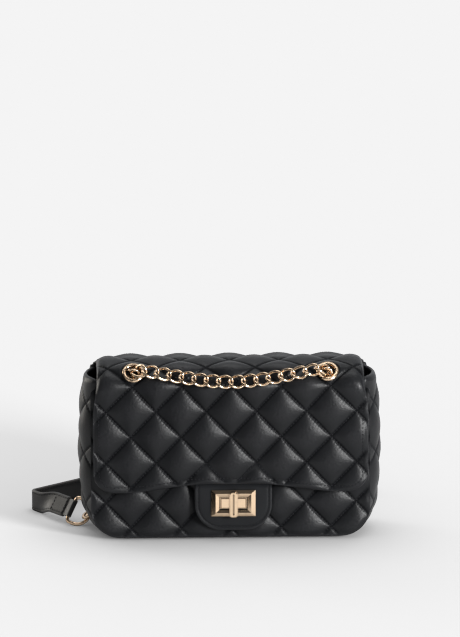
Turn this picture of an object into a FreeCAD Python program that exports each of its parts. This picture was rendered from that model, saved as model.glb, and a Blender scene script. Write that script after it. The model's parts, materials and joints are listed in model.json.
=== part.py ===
"""Quilted flap purse with a turn-lock, a curb chain through four eyelets, and a leather shoulder strap.

Row frame: millimetres, +Z up, front of the purse towards -Y, origin at the centre of the flat base.
Every sub-part is written to parts/NODE.step, where NODE is the name of the sub-part.
"""
import FreeCAD, Part
import math
import os

Vector = FreeCAD.Vector
X, Y, Z = Vector(1, 0, 0), Vector(0, 1, 0), Vector(0, 0, 1)
FAR = 400.0  # half size of the blocks used to trim a shape

# ---------------------------------------------------------------- driving dimensions
PANEL_W = 231.0  # width of the front and back panels
PANEL_BASE_Z = 3.0  # lower edge of both panels
CORNER_R = 24.0  # lower corners of the panels
FRONT_TOP_Z = 129.0
BACK_TOP_Z = 136.0
FRONT_Y, FRONT_LEAN = -34.0, 0.050  # outer face of the front panel at z 0, and its lean per mm of height
BACK_Y, BACK_LEAN = 33.0, -0.015  # outer face of the back panel
QUILT_T = 5.0  # face leather, foam and backing, stitched together
SEAM_GAP = 0.15  # between two parts that are sewn or clamped together

GUSSET_TOP_Z = 133.0
GUSSET_T = 4.0
GUSSET_EDGE, GUSSET_EDGE_BASE = -4.5, -2.2  # its edges, outside the outline: at the sides, under the base
GUSSET_FULL_Z = 78.0  # height where its sides bulge most
GUSSET_BULGE, GUSSET_BULGE_TOP, GUSSET_BULGE_LOW, GUSSET_BULGE_BASE = 9.5, 5.0, 6.9, 3.1
GUSSET_FLATTEN = 3.6  # how much thicker its middle is where it is pressed flat against the floor
LINING_T = 0.8
LINING_INSET = 8.6  # lining outline inside the panel outline
LINING_TOP_Z = 126.0
LINING_FRONT_GAP = 3.0  # room for the lock's backing plate between panel and lining
BOARD_T = 2.0

FLAP_W = 227.0
FLAP_GAP = 0.7  # between the front panel and the flap lining
FLAP_T = 7.0  # lining, board and quilt
FLAP_LINING_T = 0.8
FLAP_QUILT_IN = 1.9  # inner side of the flap's quilt, measured from the lining's inner side
FLAP_SIDE_Z = 42.5  # lower edge near the flap's two sides
FLAP_MID_Z = 49.5  # lower edge at the middle
FLAP_CORNER_R = 17.0
FOLD_Z = 128.0  # where the flap's front bends up from its shoulder
SHOULDER_R = 14.5  # inner radius of the shoulder
EYELET_SEAT = SHOULDER_R + 4.7  # the flap is pressed in to here under an eyelet
HINGE_Y, HINGE_Z = 19.0, 137.0  # line that the flap's top turns about

EYELET_X = 80.0
EYELET_R = 9.2
EYELET_HOLE_R = 6.3
EYELET_RISE = math.radians(50)  # how far a flap eyelet faces up
BACK_EYELET_Z = 126.2
BACK_SEAT_Y = 29.6  # the back panel is pressed in to here under an eyelet

LOCK_X, LOCK_Z = 2.0, 33.0  # the lock sits a little right of the middle
LOCK_W, LOCK_H = 36.6, 22.0
LOCK_OPEN_W, LOCK_OPEN_H = 23.6, 11.0
TAB_W, TAB_BASE_Z, TAB_TOP_Z, TAB_R = 64.0, 10.0, 62.0, 22.0
BAR_L, BAR_W = 21.6, 7.0
GROOVE_R, GROOVE_DEPTH = 0.75, 2.0  # groove along the bar
# lock layers, as depth from the front panel's outer face: minus is outwards
BAR_FRONT, BAR_BACK = -12.0, -8.0
FRAME_FRONT, FRAME_BACK = -7.75, -4.75
TAB_FACE_FRONT, TAB_FACE_BACK = -4.65, -3.35
TAB_BACK_FRONT, TAB_BACK_BACK = -3.25, -1.95
BACKING_FRONT, BACKING_BACK = -1.85, -1.05
BASE_FRONT, BASE_BACK = -0.9, -0.1
BOSS_STEP, BOSS_FRONT = -4.6, -5.9
PLATE_FRONT, PLATE_BACK = 5.1, 5.9
RETAINER_FRONT, RETAINER_BACK = 6.5, 7.2
PRONG_X = 10.0
SPINDLE_R = 2.0

LINK_INNER = 11.0  # inside length of one link, end to end
LINK_WIRE_R = 1.0
LINK_HALF_W = 4.75  # centre of the wire to the middle of the link, sideways
LINK_TWIST = math.radians(45)  # each end of a curb link is twisted by this much
LINK_STEP = 10.4  # spacing of the links along a run
LINK_STEP_EYELET = 9.2  # a link in an eyelet is slacker, because the run bends there

STRAP_W, STRAP_T = 17.6, 2.8
STRAP_FOLD, STRAP_FOLD_R = 85.8, 3.2  # sharp fold near its left ring: degrees, and radius of its middle line
STRAP_BEND_R = 30.0  # easy bend where it comes round behind the purse
STRAP_TURN_R = 14.0  # how tightly the strap doubles back on itself
STRAP_LEFT_X, STRAP_RIGHT_X = -72.0, 86.0  # where it starts to double back
STRAP_LEAN = math.radians(32)  # each end of the strap leans over by this much
STRAP_START, STRAP_STRAIGHT, STRAP_UPRIGHT = 6.5, 24.0, 46.0  # along the strap, from the ring's bar
LOOP_W, LOOP_T, LOOP_R = 15.0, 1.5, 2.1  # narrow leather loop that holds a ring: width, both plies, eye
RING_WIRE_R = 1.25
RING_HALF_W = 11.0
RING_CORNER_R = 2.5
RING_LEG = 5.0  # bar to the centre of the ring's round end
RING_Z = 13.4  # height of the middle of a ring's bar
RING_LEFT = (-131.0, 21.0, 125.8, 1)  # x and y of the bar, heading of the strap from it, side it leans to
RING_RIGHT = (52.0, 84.0, 180.0, -1)


# ---------------------------------------------------------------- geometry helpers
def front_y(z):
    """Outer face of the front panel at height z."""
    return FRONT_Y + FRONT_LEAN * z


def back_y(z):
    """Outer face of the back panel at height z."""
    return BACK_Y + BACK_LEAN * z


def polygon(points):
    """A closed planar face through the points."""
    return Part.Face(Part.makePolygon(points + points[:1]))


def box(x0, x1, y0, y1, z0, z1):
    return Part.makeBox(x1 - x0, y1 - y0, z1 - z0, Vector(x0, y0, z0))


def cylinder(centre, axis, radius, low, high):
    """A cylinder along axis, from low to high as measured from centre."""
    return Part.makeCylinder(radius, high - low, centre + axis * low, axis)


def ring(centre, axis, outer_r, inner_r, low, high):
    return cylinder(centre, axis, outer_r, low, high).cut(cylinder(centre, axis, inner_r, low - 1, high + 1))


def corner_arc(at, half_w, base_z, radius, side):
    """Arc of a panel's lower left corner (side -1), drawn downwards, or right one (side 1), drawn upwards."""
    turn = radius * (1 - math.sqrt(0.5))
    high, low = at(side * half_w, base_z + radius), at(side * (half_w - radius), base_z)
    middle = at(side * (half_w - turn), base_z + turn)
    return Part.Arc(*((high, middle, low) if side < 0 else (low, middle, high))).toShape()


def u_outline(half_w, base_z, top_z, radius, y_of_z):
    """Wire of a panel with two round lower corners, drawn on the surface y = y_of_z(z)."""

    def at(x, z):
        return Vector(x, y_of_z(z), z)

    side, low = half_w, base_z + radius
    edges = [Part.makeLine(at(-side, top_z), at(-side, low))]
    edges.append(corner_arc(at, side, base_z, radius, -1))
    edges.append(Part.makeLine(at(-side + radius, base_z), at(side - radius, base_z)))
    edges.append(corner_arc(at, side, base_z, radius, 1))
    edges.append(Part.makeLine(at(side, low), at(side, top_z)))
    edges.append(Part.makeLine(at(side, top_z), at(-side, top_z)))
    return Part.Wire(edges)


def between(half_w, base_z, top_z, radius, y_front, y_back):
    """Solid with the panel outline, from the surface y_front(z) back to the surface y_back(z)."""
    wires = [u_outline(half_w, base_z, top_z, radius, y) for y in (y_front, y_back)]
    return Part.makeLoft(wires, True, True)


def first_solid(shape):
    """The one solid of a fuse or cut, without the compound round it."""
    return shape.Solids[0] if len(shape.Solids) == 1 else shape


# ---------------------------------------------------------------- body of the purse
def front_panel():
    return between(PANEL_W / 2, PANEL_BASE_Z, FRONT_TOP_Z, CORNER_R, front_y, lambda z: front_y(z) + QUILT_T)


def back_panel():
    return between(PANEL_W / 2, PANEL_BASE_Z, BACK_TOP_Z, CORNER_R, lambda z: back_y(z) - QUILT_T, back_y)


def gusset_profile(x, z, nx, nz, steep):
    """Section of the strip at a point of the panel outline with outward normal (nx, nz).

    edge, bulge and inner say how far the strip's edges, its middle and the inner side of its middle stand outside
    the outline. steep goes from 0 at the sides to 1 under the base.
    """
    if z > GUSSET_FULL_Z:
        rise, end = (z - GUSSET_FULL_Z) / (GUSSET_TOP_Z - GUSSET_FULL_Z), GUSSET_BULGE_TOP
    else:
        rise, end = (GUSSET_FULL_Z - z) / (GUSSET_FULL_Z - PANEL_BASE_Z - CORNER_R), GUSSET_BULGE_LOW
    bulge = GUSSET_BULGE + (end - GUSSET_BULGE) * rise * rise
    if steep > 0:
        bulge = GUSSET_BULGE_LOW + (GUSSET_BULGE_BASE - GUSSET_BULGE_LOW) * steep
    edge = GUSSET_EDGE + (GUSSET_EDGE_BASE - GUSSET_EDGE) * steep * steep
    inner = bulge - GUSSET_T - GUSSET_FLATTEN * steep * steep
    low = edge - GUSSET_T + 0.5

    def at(out, share):
        px, pz = x + nx * out, z + nz * out
        y0, y1 = front_y(pz) + QUILT_T + SEAM_GAP, back_y(pz) - QUILT_T - SEAM_GAP
        return Vector(px, y0 + (y1 - y0) * share, pz)

    outer = Part.Arc(at(edge, 0), at(bulge, 0.5), at(edge, 1)).toShape()
    inside = Part.Arc(at(low, 1), at(inner, 0.5), at(low, 0)).toShape()
    near, far = Part.makeLine(at(low, 0), at(edge, 0)), Part.makeLine(at(edge, 1), at(low, 1))
    return Part.Wire([outer, far, inside, near])


def gusset():
    """U-shaped side and base strip that bulges between the two panels, trimmed flat where it stands."""
    half, low = PANEL_W / 2, PANEL_BASE_Z + CORNER_R
    steps = 8
    left = []
    for i in range(steps):
        left.append((half, GUSSET_TOP_Z - (GUSSET_TOP_Z - low) * i / steps, 1.0, 0.0, 0.0))
    for degrees in (0, 30, 60):
        c, s = math.cos(math.radians(degrees)), math.sin(math.radians(degrees))
        left.append((half - CORNER_R + CORNER_R * c, low - CORNER_R * s, c, -s, s))
    for i in range(7):
        left.append(((half - CORNER_R) * (1 - i / 7), PANEL_BASE_Z, 0.0, -1.0, 1.0))
    right = [(-x, z, -nx, nz, steep) for x, z, nx, nz, steep in reversed(left)]
    middle = [(0.0, PANEL_BASE_Z, 0.0, -1.0, 1.0)]
    strip = Part.makeLoft([gusset_profile(*place) for place in left + middle + right], True, False)
    return first_solid(strip.cut(box(-FAR, FAR, -FAR, FAR, -50, 0)))


def lining_wall(extra):
    """Outer shape of the lining, or of its inside when extra is the lining's thickness."""
    half = PANEL_W / 2 - LINING_INSET - extra
    base = PANEL_BASE_Z + LINING_INSET + extra
    top = LINING_TOP_Z + (1.0 if extra else 0.0)

    def near(z):
        return front_y(z) + QUILT_T + LINING_FRONT_GAP + extra

    def far(z):
        return back_y(z) - QUILT_T - 2 * SEAM_GAP - extra

    return between(half, base, top, CORNER_R - LINING_INSET - extra, near, far)


def lining():
    return first_solid(lining_wall(0).cut(lining_wall(LINING_T)))


def base_board():
    top = PANEL_BASE_Z + LINING_INSET - SEAM_GAP
    half_x = PANEL_W / 2 - CORNER_R
    y0, y1 = front_y(top) + QUILT_T + LINING_FRONT_GAP, back_y(top) - QUILT_T - 1.0
    board = box(-half_x, half_x, y0, y1, top - BOARD_T, top)
    return board.makeFillet(6.0, [e for e in board.Edges if abs(e.tangentAt(e.FirstParameter).z) > 0.9])


def slip_pocket():
    """Flat pocket sewn to the back wall of the lining."""

    def near(z):
        return back_y(z) - QUILT_T - 2 * SEAM_GAP - LINING_T - SEAM_GAP - 1.0

    return between(60.0, 24.0, 96.0, 8.0, near, lambda z: near(z) + 1.0)


# ---------------------------------------------------------------- flap
def shoulder_centre():
    """Centre of the shoulder arc, level with the fold in the flap's front."""
    lean = math.atan(FRONT_LEAN)
    out = Vector(0, -math.cos(lean), math.sin(lean))
    return Vector(0, front_y(FOLD_Z) - FLAP_GAP, FOLD_Z) - out * SHOULDER_R


def flap_section(side, offset):
    """Points and edges of the flap's profile at a distance from its inner side: 'front' or 'top'."""
    centre = shoulder_centre()
    lean = math.atan(FRONT_LEAN)
    out = Vector(0, -math.cos(lean), math.sin(lean))
    down = Vector(0, -math.sin(lean), -math.cos(lean))
    radius = SHOULDER_R + offset
    fold = centre + out * radius
    if side == "front":
        start = fold + down * SEAM_GAP
        return start, start + down * (FOLD_Z - FLAP_SIDE_Z + 4.0), None
    middle = math.radians(45) + lean / 2
    over = centre + Vector(0, -math.cos(middle), math.sin(middle)) * radius
    crest = centre + Z * radius
    rear = Vector(0, HINGE_Y, crest.z)
    return fold, rear, [Part.Arc(fold, over, crest).toShape(), Part.makeLine(crest, rear)]


def flap_layer(side, inner, outer):
    """One layer of the flap, across its whole width, between two distances from its inner side."""
    a0, a1, a_edges = flap_section(side, inner)
    b0, b1, b_edges = flap_section(side, outer)
    a_edges = a_edges or [Part.makeLine(a0, a1)]
    b_edges = b_edges or [Part.makeLine(b0, b1)]
    ends = [Part.makeLine(a0, b0), Part.makeLine(a1, b1)]
    wire = Part.Wire(Part.__sortEdges__(a_edges + b_edges + ends))
    face = Part.Face(wire)
    face.translate(X * (-FLAP_W / 2))
    return face.extrude(X * FLAP_W)


def flap_front_outline():
    """Block that trims the flap's front to its arched lower edge and round corners."""
    half, top, corner = FLAP_W / 2, FOLD_Z + 20, FLAP_CORNER_R

    def at(x, z):
        return Vector(x, -FAR, z)

    low = FLAP_SIDE_Z
    edges = [Part.makeLine(at(-half, top), at(-half, low + corner))]
    edges.append(corner_arc(at, half, low, corner, -1))
    arch = Part.BSplineCurve()
    reach = half - corner
    heights = [(-1.0, 0.0), (-0.72, 0.22), (-0.42, 0.86), (0.0, 1.0), (0.42, 0.86), (0.72, 0.22), (1.0, 0.0)]
    points = [at(reach * share, low + (FLAP_MID_Z - low) * rise) for share, rise in heights]
    arch.interpolate(Points=points, InitialTangent=X, FinalTangent=X)
    edges.append(arch.toShape())
    edges.append(corner_arc(at, half, low, corner, 1))
    edges.append(Part.makeLine(at(half, low + corner), at(half, top)))
    edges.append(Part.makeLine(at(half, top), at(-half, top)))
    return Part.Face(Part.Wire(edges)).extrude(Y * 2 * FAR)


def flap_front_layers():
    outline = flap_front_outline()
    quilt = flap_layer("front", FLAP_QUILT_IN, FLAP_T).common(outline)
    inside = flap_layer("front", 0, FLAP_LINING_T).common(outline)
    board = flap_layer("front", FLAP_LINING_T + SEAM_GAP, FLAP_QUILT_IN - SEAM_GAP)
    board = board.common(box(-FLAP_W / 2 + 12, FLAP_W / 2 - 12, -FAR, FAR, TAB_TOP_Z + 2, FOLD_Z - 6))
    return first_solid(quilt), first_solid(inside), first_solid(board)


def eyelet_axis():
    return Vector(0, -math.cos(EYELET_RISE), math.sin(EYELET_RISE))


def flap_eyelet_seats(quilt, inside):
    """Cuts the two eyelet holes through the flap's shoulder, with a flat seat on each side."""
    axis = eyelet_axis()
    for x in (-EYELET_X, EYELET_X):
        centre = shoulder_centre() + X * x
        cuts = [
            cylinder(centre, axis, EYELET_HOLE_R + 0.75, 0, 40),
            cylinder(centre, axis, EYELET_R + 0.3, EYELET_SEAT, 40),
            cylinder(centre, axis, 8.4, 0, SHOULDER_R - 0.9),
        ]
        for cut in cuts:
            quilt, inside = quilt.cut(cut), inside.cut(cut)
    return first_solid(quilt), first_solid(inside)


def eyelet(centre, axis, seat, back):
    """Pressed eyelet: a rounded flange on the seat and a barrel whose end is rolled over the washer."""
    hole, barrel = EYELET_HOLE_R, EYELET_HOLE_R + 0.6
    rim, top = EYELET_R, seat + 1.7
    points = [(hole, back - 0.1), (hole, top - 0.75)]
    crown = [(hole + 0.35, top - 0.15), (hole + 1.0, top), (rim - 1.0, top), (rim - 0.25, top - 0.45)]
    seated = [(rim, seat + 0.05), (barrel, seat + 0.05)]
    roll = [(barrel, back + 0.9), (barrel + 0.9, back + 0.75), (barrel + 1.0, back + 0.1), (barrel, back - 0.1)]
    profile = [Vector(r, 0, h) for r, h in points + crown + seated + roll]
    solid = polygon(profile).revolve(Vector(), Z, 360)
    solid.Placement = FreeCAD.Placement(centre, FreeCAD.Rotation(Z, axis))
    return solid


def eyelet_set(centre, axis, seat, back):
    """The eyelet and the washer it is rolled over."""
    washer = ring(centre, axis, 8.1, EYELET_HOLE_R + 0.65, back + 0.95, back + 1.65)
    return eyelet(centre, axis, seat, back), washer


# ---------------------------------------------------------------- lock
def on_lock(shape):
    """Moves a shape from the lock's own frame (origin on the panel's face, y inwards) to the purse."""
    lean = math.degrees(math.atan(FRONT_LEAN))
    shape.Placement = FreeCAD.Placement(Vector(LOCK_X, front_y(LOCK_Z), LOCK_Z), FreeCAD.Rotation(X, -lean))
    return shape


def plate(half_w, half_h, y0, y1):
    return box(-half_w, half_w, y0, y1, -half_h, half_h)


def frustum(y0, half_w0, half_h0, y1, half_w1, half_h1):
    """Four-sided block between two rectangles that face the front."""
    turns = ((-1, -1), (1, -1), (1, 1), (-1, 1), (-1, -1))
    wires = []
    for y, w, h in ((y0, half_w0, half_h0), (y1, half_w1, half_h1)):
        wires.append(Part.makePolygon([Vector(i * w, y, j * h) for i, j in turns]))
    return Part.makeLoft(wires, True, True)


def frame_screw_spots():
    return [Vector(sign * (LOCK_W / 2 - 4.0), 0, 0) for sign in (-1, 1)]


def lock_opening():
    return plate(LOCK_OPEN_W / 2, LOCK_OPEN_H / 2, -50, 50)


def lock_frame():
    half_w, half_h = LOCK_W / 2, LOCK_H / 2
    rim = plate(half_w, half_h, FRAME_BACK - 0.7, FRAME_BACK)
    bevel = frustum(FRAME_BACK - 0.7, half_w, half_h, FRAME_FRONT, half_w - 3.6, half_h - 2.7)
    inside = frustum(FRAME_FRONT, LOCK_OPEN_W / 2 + 2.9, LOCK_OPEN_H / 2 + 2.4,
                     FRAME_FRONT + 1.5, LOCK_OPEN_W / 2, LOCK_OPEN_H / 2)
    frame = rim.fuse(bevel).cut(inside).cut(lock_opening())
    for spot in frame_screw_spots():
        frame = frame.cut(cylinder(spot, Y, 0.9, FRAME_BACK - 1.5, FRAME_BACK + 1))
    return on_lock(first_solid(frame.removeSplitter()))


def lock_frame_backing():
    backing = plate(LOCK_W / 2 - 1.5, LOCK_H / 2 - 1.2, BACKING_FRONT, BACKING_BACK).cut(lock_opening())
    for spot in frame_screw_spots():
        backing = backing.cut(cylinder(spot, Y, 1.0, -50, 50))
    return on_lock(first_solid(backing))


def lock_frame_screws():
    screws = []
    for spot in frame_screw_spots():
        head = cylinder(spot, Y, 1.6, BACKING_BACK + 0.03, BACKING_BACK + 0.63)
        shank = cylinder(spot, Y, 0.85, FRAME_BACK - 1.4, BACKING_BACK + 0.03)
        screws.append(head.fuse(shank).removeSplitter().Solids[0])
    return on_lock(Part.makeCompound(screws))


def lock_base_plate():
    """Plate on the front panel with the stepped boss that fills the frame, and two prongs clenched inside."""
    solid = plate(12.5, 8.0, BASE_FRONT, BASE_BACK)
    solid = solid.fuse(plate(10.9, 4.7, BOSS_STEP, BASE_FRONT))
    solid = solid.fuse(frustum(BOSS_STEP, 10.3, 4.1, BOSS_FRONT, 9.9, 3.7))
    for sign in (-1, 1):
        spot = Vector(sign * PRONG_X, 0, 0)
        solid = solid.fuse(cylinder(spot, Y, 1.0, BASE_BACK, PLATE_BACK + 0.1))
        solid = solid.fuse(cylinder(spot, Y, 1.6, PLATE_BACK + 0.05, PLATE_BACK + 0.45))
    solid = solid.cut(cylinder(Vector(), Y, SPINDLE_R + 0.15, -50, 50))
    return on_lock(first_solid(solid.removeSplitter()))


def lock_backing_plate():
    solid = plate(13.5, 6.5, PLATE_FRONT, PLATE_BACK).cut(cylinder(Vector(), Y, SPINDLE_R + 0.2, -50, 50))
    for sign in (-1, 1):
        solid = solid.cut(cylinder(Vector(sign * PRONG_X, 0, 0), Y, 1.1, -50, 50))
    return on_lock(first_solid(solid))


def detent_spring():
    leaf = plate(7.0, 3.0, PLATE_BACK + 0.08, PLATE_BACK + 0.38)
    return on_lock(first_solid(leaf.cut(cylinder(Vector(), Y, SPINDLE_R + 0.2, -50, 50))))


def turn_bar():
    """Bar with a groove along it, on a spindle whose thin end is riveted over the retainer."""
    half_l, half_w = BAR_L / 2, BAR_W / 2
    bar = plate(half_w, half_l, BAR_FRONT, BAR_BACK)
    bar = bar.makeFillet(2.2, [e for e in bar.Edges if abs(e.tangentAt(e.FirstParameter).y) > 0.9])
    face = [e for e in bar.Edges if abs(e.BoundBox.YMax - BAR_FRONT) < 0.01]
    bar = bar.makeChamfer(0.9, face)
    groove = plate(GROOVE_R, half_l - 2.6, BAR_FRONT - 1, BAR_FRONT + GROOVE_DEPTH)
    for sign in (-1, 1):
        end = Vector(0, 0, sign * (half_l - 2.6))
        groove = groove.fuse(cylinder(end, Y, GROOVE_R, BAR_FRONT - 1, BAR_FRONT + GROOVE_DEPTH))
    spindle = cylinder(Vector(), Y, SPINDLE_R, BAR_BACK - 0.5, RETAINER_FRONT - 0.15)
    spindle = spindle.fuse(cylinder(Vector(), Y, 1.5, RETAINER_FRONT - 0.2, RETAINER_BACK + 0.1))
    spindle = spindle.fuse(cylinder(Vector(), Y, 2.1, RETAINER_BACK + 0.05, RETAINER_BACK + 0.35))
    return on_lock(first_solid(bar.cut(groove).fuse(spindle).removeSplitter()))


def bar_retainer():
    return on_lock(first_solid(ring(Vector(), Y, 4.0, 1.6, RETAINER_FRONT, RETAINER_BACK)))


def panel_lock_holes():
    """Everything the lock needs cut through the front panel."""
    holes = [cylinder(Vector(), Y, SPINDLE_R + 0.5, -20, 20)]
    for sign in (-1, 1):
        holes.append(cylinder(Vector(sign * PRONG_X, 0, 0), Y, 1.25, -20, 20))
    return on_lock(Part.makeCompound(holes))


def tab_ply(front, back, inset):
    """One ply of the smooth leather tab: square top, round lower corners, cut out for the lock."""
    half, radius = TAB_W / 2 - inset, TAB_R - inset
    wire = u_outline(half, TAB_BASE_Z + inset - LOCK_Z, TAB_TOP_Z - LOCK_Z, radius, lambda z: front)
    ply = Part.Face(wire).extrude(Y * (back - front)).cut(lock_opening())
    for spot in frame_screw_spots():
        ply = ply.cut(cylinder(spot, Y, 1.0, -50, 50))
    return on_lock(first_solid(ply))


def tab_pocket():
    """Room for the tab's two plies inside the flap."""
    half = TAB_W / 2 + 0.3
    return on_lock(box(-half, half, TAB_FACE_FRONT - 0.1, 0, -40, TAB_TOP_Z - LOCK_Z + 0.3))


# ---------------------------------------------------------------- chain
def link_at_origin():
    """One curb link along X, made of two half sweeps that meet at both ends."""
    half_len = LINK_INNER / 2 + LINK_WIRE_R
    squareness = 0.8

    def at(angle):
        c, s = math.cos(angle), math.sin(angle)
        x = half_len * math.copysign(abs(c) ** squareness, c)
        r = LINK_HALF_W * math.copysign(abs(s) ** squareness, s)
        turn = LINK_TWIST * x / half_len
        return Vector(x, r * math.cos(turn), r * math.sin(turn))

    count = 16
    loop = Part.BSplineCurve()
    loop.interpolate([at(2 * math.pi * (i + 0.5) / count) for i in range(count)], PeriodicFlag=True)
    first, last = loop.FirstParameter, loop.LastParameter
    halves = []
    for low, high in ((first, (first + last) / 2), ((first + last) / 2, last)):
        part = loop.copy()
        part.segment(low, high)
        start = part.FirstParameter
        circle = Part.Edge(Part.Circle(part.value(start), part.tangent(start)[0], LINK_WIRE_R))
        halves.append(Part.Wire([part.toShape()]).makePipeShell([Part.Wire([circle])], True, True))
    return halves[0].fuse(halves[1]).Solids[0]


LINK = link_at_origin()


def link_between(start, end, normal):
    """A link laid from start to end, facing along normal."""
    along = (end - start).normalize()
    face = (normal - along * normal.dot(along)).normalize()
    return placed(LINK.copy(), (start + end) * 0.5, along, face.cross(along))


def evenly(path, count):
    """count + 1 points at equal arc length along path, a function of 0 to 1."""
    fine = 600
    points = [path(i / fine) for i in range(fine + 1)]
    reach = [0.0]
    for a, b in zip(points, points[1:]):
        reach.append(reach[-1] + (b - a).Length)
    found, k = [], 0
    for i in range(count + 1):
        want = reach[-1] * i / count
        while k < fine - 1 and reach[k + 1] < want:
            k += 1
        share = (want - reach[k]) / (reach[k + 1] - reach[k])
        found.append(points[k] + (points[k + 1] - points[k]) * share)
    return found


def path_length(path):
    points = evenly(path, 200)
    return sum((b - a).Length for a, b in zip(points, points[1:]))


def links_along(path, facing, count=None):
    """Links laid along path. facing gives the direction a link faces, as a function of 0 to 1."""
    count = count or max(1, round(path_length(path) / LINK_STEP))
    joints = evenly(path, count)
    return [link_between(a, b, facing((i + 0.5) / count)) for i, (a, b) in enumerate(zip(joints, joints[1:]))]


def smooth_path(points):
    """A path through the points, as a function of 0 to 1."""
    curve = Part.BSplineCurve()
    curve.interpolate(points)
    first, last = curve.FirstParameter, curve.LastParameter
    return lambda t: curve.value(first + (last - first) * t)


def eyelet_crowns(side):
    """Where a flap eyelet's link meets the runs on its inner and outer sides. side is -1 or 1.

    The link leans in its hole, because the front run pulls its outer end towards the middle of the purse.
    """
    centre, axis = shoulder_centre() + X * (side * EYELET_X), eyelet_axis()
    inner = centre + axis * (SHOULDER_R - 2.3)
    return inner + X * (side * 0.6), inner + axis * LINK_STEP_EYELET - X * (side * 0.36)


def back_crowns(side):
    """Joints of the two links at a back eyelet: on the flap's hinge line, inside, and outside the eyelet."""
    x = side * EYELET_X
    inner, outer = Vector(x, 22.3, BACK_EYELET_Z + 2.1), Vector(x, 32.4, BACK_EYELET_Z - 0.4)
    return Vector(x, HINGE_Y, HINGE_Z), inner, outer


def front_run():
    """Chain across the flap's front, hanging between the two flap eyelets."""
    centre = shoulder_centre()
    left, right = eyelet_crowns(-1)[1], eyelet_crowns(1)[1]
    end_reach = math.hypot(left.y - centre.y, left.z - centre.z)
    lift = SHOULDER_R + FLAP_T + 4.5
    low = math.radians(21)

    def rise(t):
        return low + (EYELET_RISE - low) * abs(2 * t - 1) ** 1.6

    def path(t):
        reach = lift + (end_reach - lift) * abs(2 * t - 1) ** 24
        x = left.x + (right.x - left.x) * t
        return centre + Vector(x, -reach * math.cos(rise(t)), reach * math.sin(rise(t)))

    def facing(t):
        turn = rise(t) + math.radians(12) * max(0.0, 5 * t - 4) - math.radians(18) * max(0.0, 1 - 5 * t)
        return Vector(0, -math.cos(turn), math.sin(turn))

    return links_along(path, facing)


def flap_eyelet_link(side):
    """The link inside a flap eyelet, turned so that it clears the runs on both sides."""
    inner, outer = eyelet_crowns(side)
    along = (outer - inner).normalize()
    down = Vector(0, -math.sin(EYELET_RISE), -math.cos(EYELET_RISE))
    turn = math.radians(135 if side < 0 else 125)
    return link_between(inner, outer, down * math.cos(turn) + along.cross(down) * math.sin(turn))


def inner_run(side):
    """Chain under the flap, from its eyelet back to the flap's hinge line."""
    start, end = eyelet_crowns(side)[0], back_crowns(side)[0]
    return links_along(lambda t: start + (end - start) * t, lambda t: Z + X * (0.27 * (1 - t)))


def back_eyelet_links(side):
    """The upright link inside the purse and the link in the back eyelet."""
    top, inner, outer = back_crowns(side)
    return [link_between(top, inner, Y), link_between(inner, outer, Z)]


# ---------------------------------------------------------------- strap
def strap_end(spec):
    """Middle of a ring's bar, and four directions: along the strap, across it, along the bar, and out to the
    ring's round end."""
    x, y, heading, side = spec
    turn = math.radians(heading)
    along = Vector(math.cos(turn), math.sin(turn), 0)
    flat = Vector(math.sin(turn), -math.cos(turn), 0) * side
    bar = Z * math.cos(STRAP_LEAN) + flat * math.sin(STRAP_LEAN)
    across = flat * math.cos(STRAP_LEAN) - Z * math.sin(STRAP_LEAN)
    out = (across - along).normalize()
    return Vector(x, y, RING_Z), along, across, bar, out


def placed(shape, origin, x_axis, y_axis):
    """The shape moved so that its x and y axes lie along the two given directions."""
    z_axis = x_axis.cross(y_axis)
    matrix = FreeCAD.Matrix(x_axis.x, y_axis.x, z_axis.x, origin.x, x_axis.y, y_axis.y, z_axis.y, origin.y,
                            x_axis.z, y_axis.z, z_axis.z, origin.z, 0, 0, 0, 1)
    shape.Placement = FreeCAD.Placement(matrix)
    return shape


def d_ring(spec):
    """Ring with a straight bar, two short legs and a round end, made of two half sweeps."""
    middle, _, _, bar, out = strap_end(spec)
    half, corner, leg = RING_HALF_W, RING_CORNER_R, RING_LEG
    turn = corner * (1 - math.sqrt(0.5))
    halves = []
    for sign in (-1, 1):
        def at(x, y):
            return Vector(sign * x, y, 0)

        edges = [Part.makeLine(at(0, 0), at(half - corner, 0))]
        edges.append(Part.Arc(at(half - corner, 0), at(half - turn, turn), at(half, corner)).toShape())
        edges.append(Part.makeLine(at(half, corner), at(half, leg)))
        low = half * math.sqrt(0.5)
        edges.append(Part.Arc(at(half, leg), at(low, leg + low), at(0, leg + half)).toShape())
        circle = Part.Edge(Part.Circle(Vector(), X, RING_WIRE_R))
        halves.append(Part.Wire(edges).makePipeShell([Part.Wire([circle])], True, True))
    ring_shape = halves[0].fuse(halves[1]).Solids[0]
    return placed(ring_shape, middle, bar, out)


def ring_loop(spec):
    """Leather loop round a ring's bar, whose doubled end goes into the strap."""
    middle, along, across, bar, _ = strap_end(spec)
    half, half_w = LOOP_T / 2, LOOP_W / 2
    outline = [(0, LOOP_R), (5, half), (22, half), (22, -half), (5, -half), (0, -LOOP_R)]
    legs = polygon([Vector(x, y, -half_w) for x, y in outline]).extrude(Z * LOOP_W)
    loop = legs.fuse(cylinder(Vector(), Z, LOOP_R, -half_w, half_w)).removeSplitter()
    loop = loop.cut(cylinder(Vector(), Z, RING_WIRE_R + 0.05, -FAR, FAR))
    z_axis = along.cross(across)
    return placed(first_solid(loop), middle, along, across if z_axis.dot(bar) > 0 else across * -1)


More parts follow.
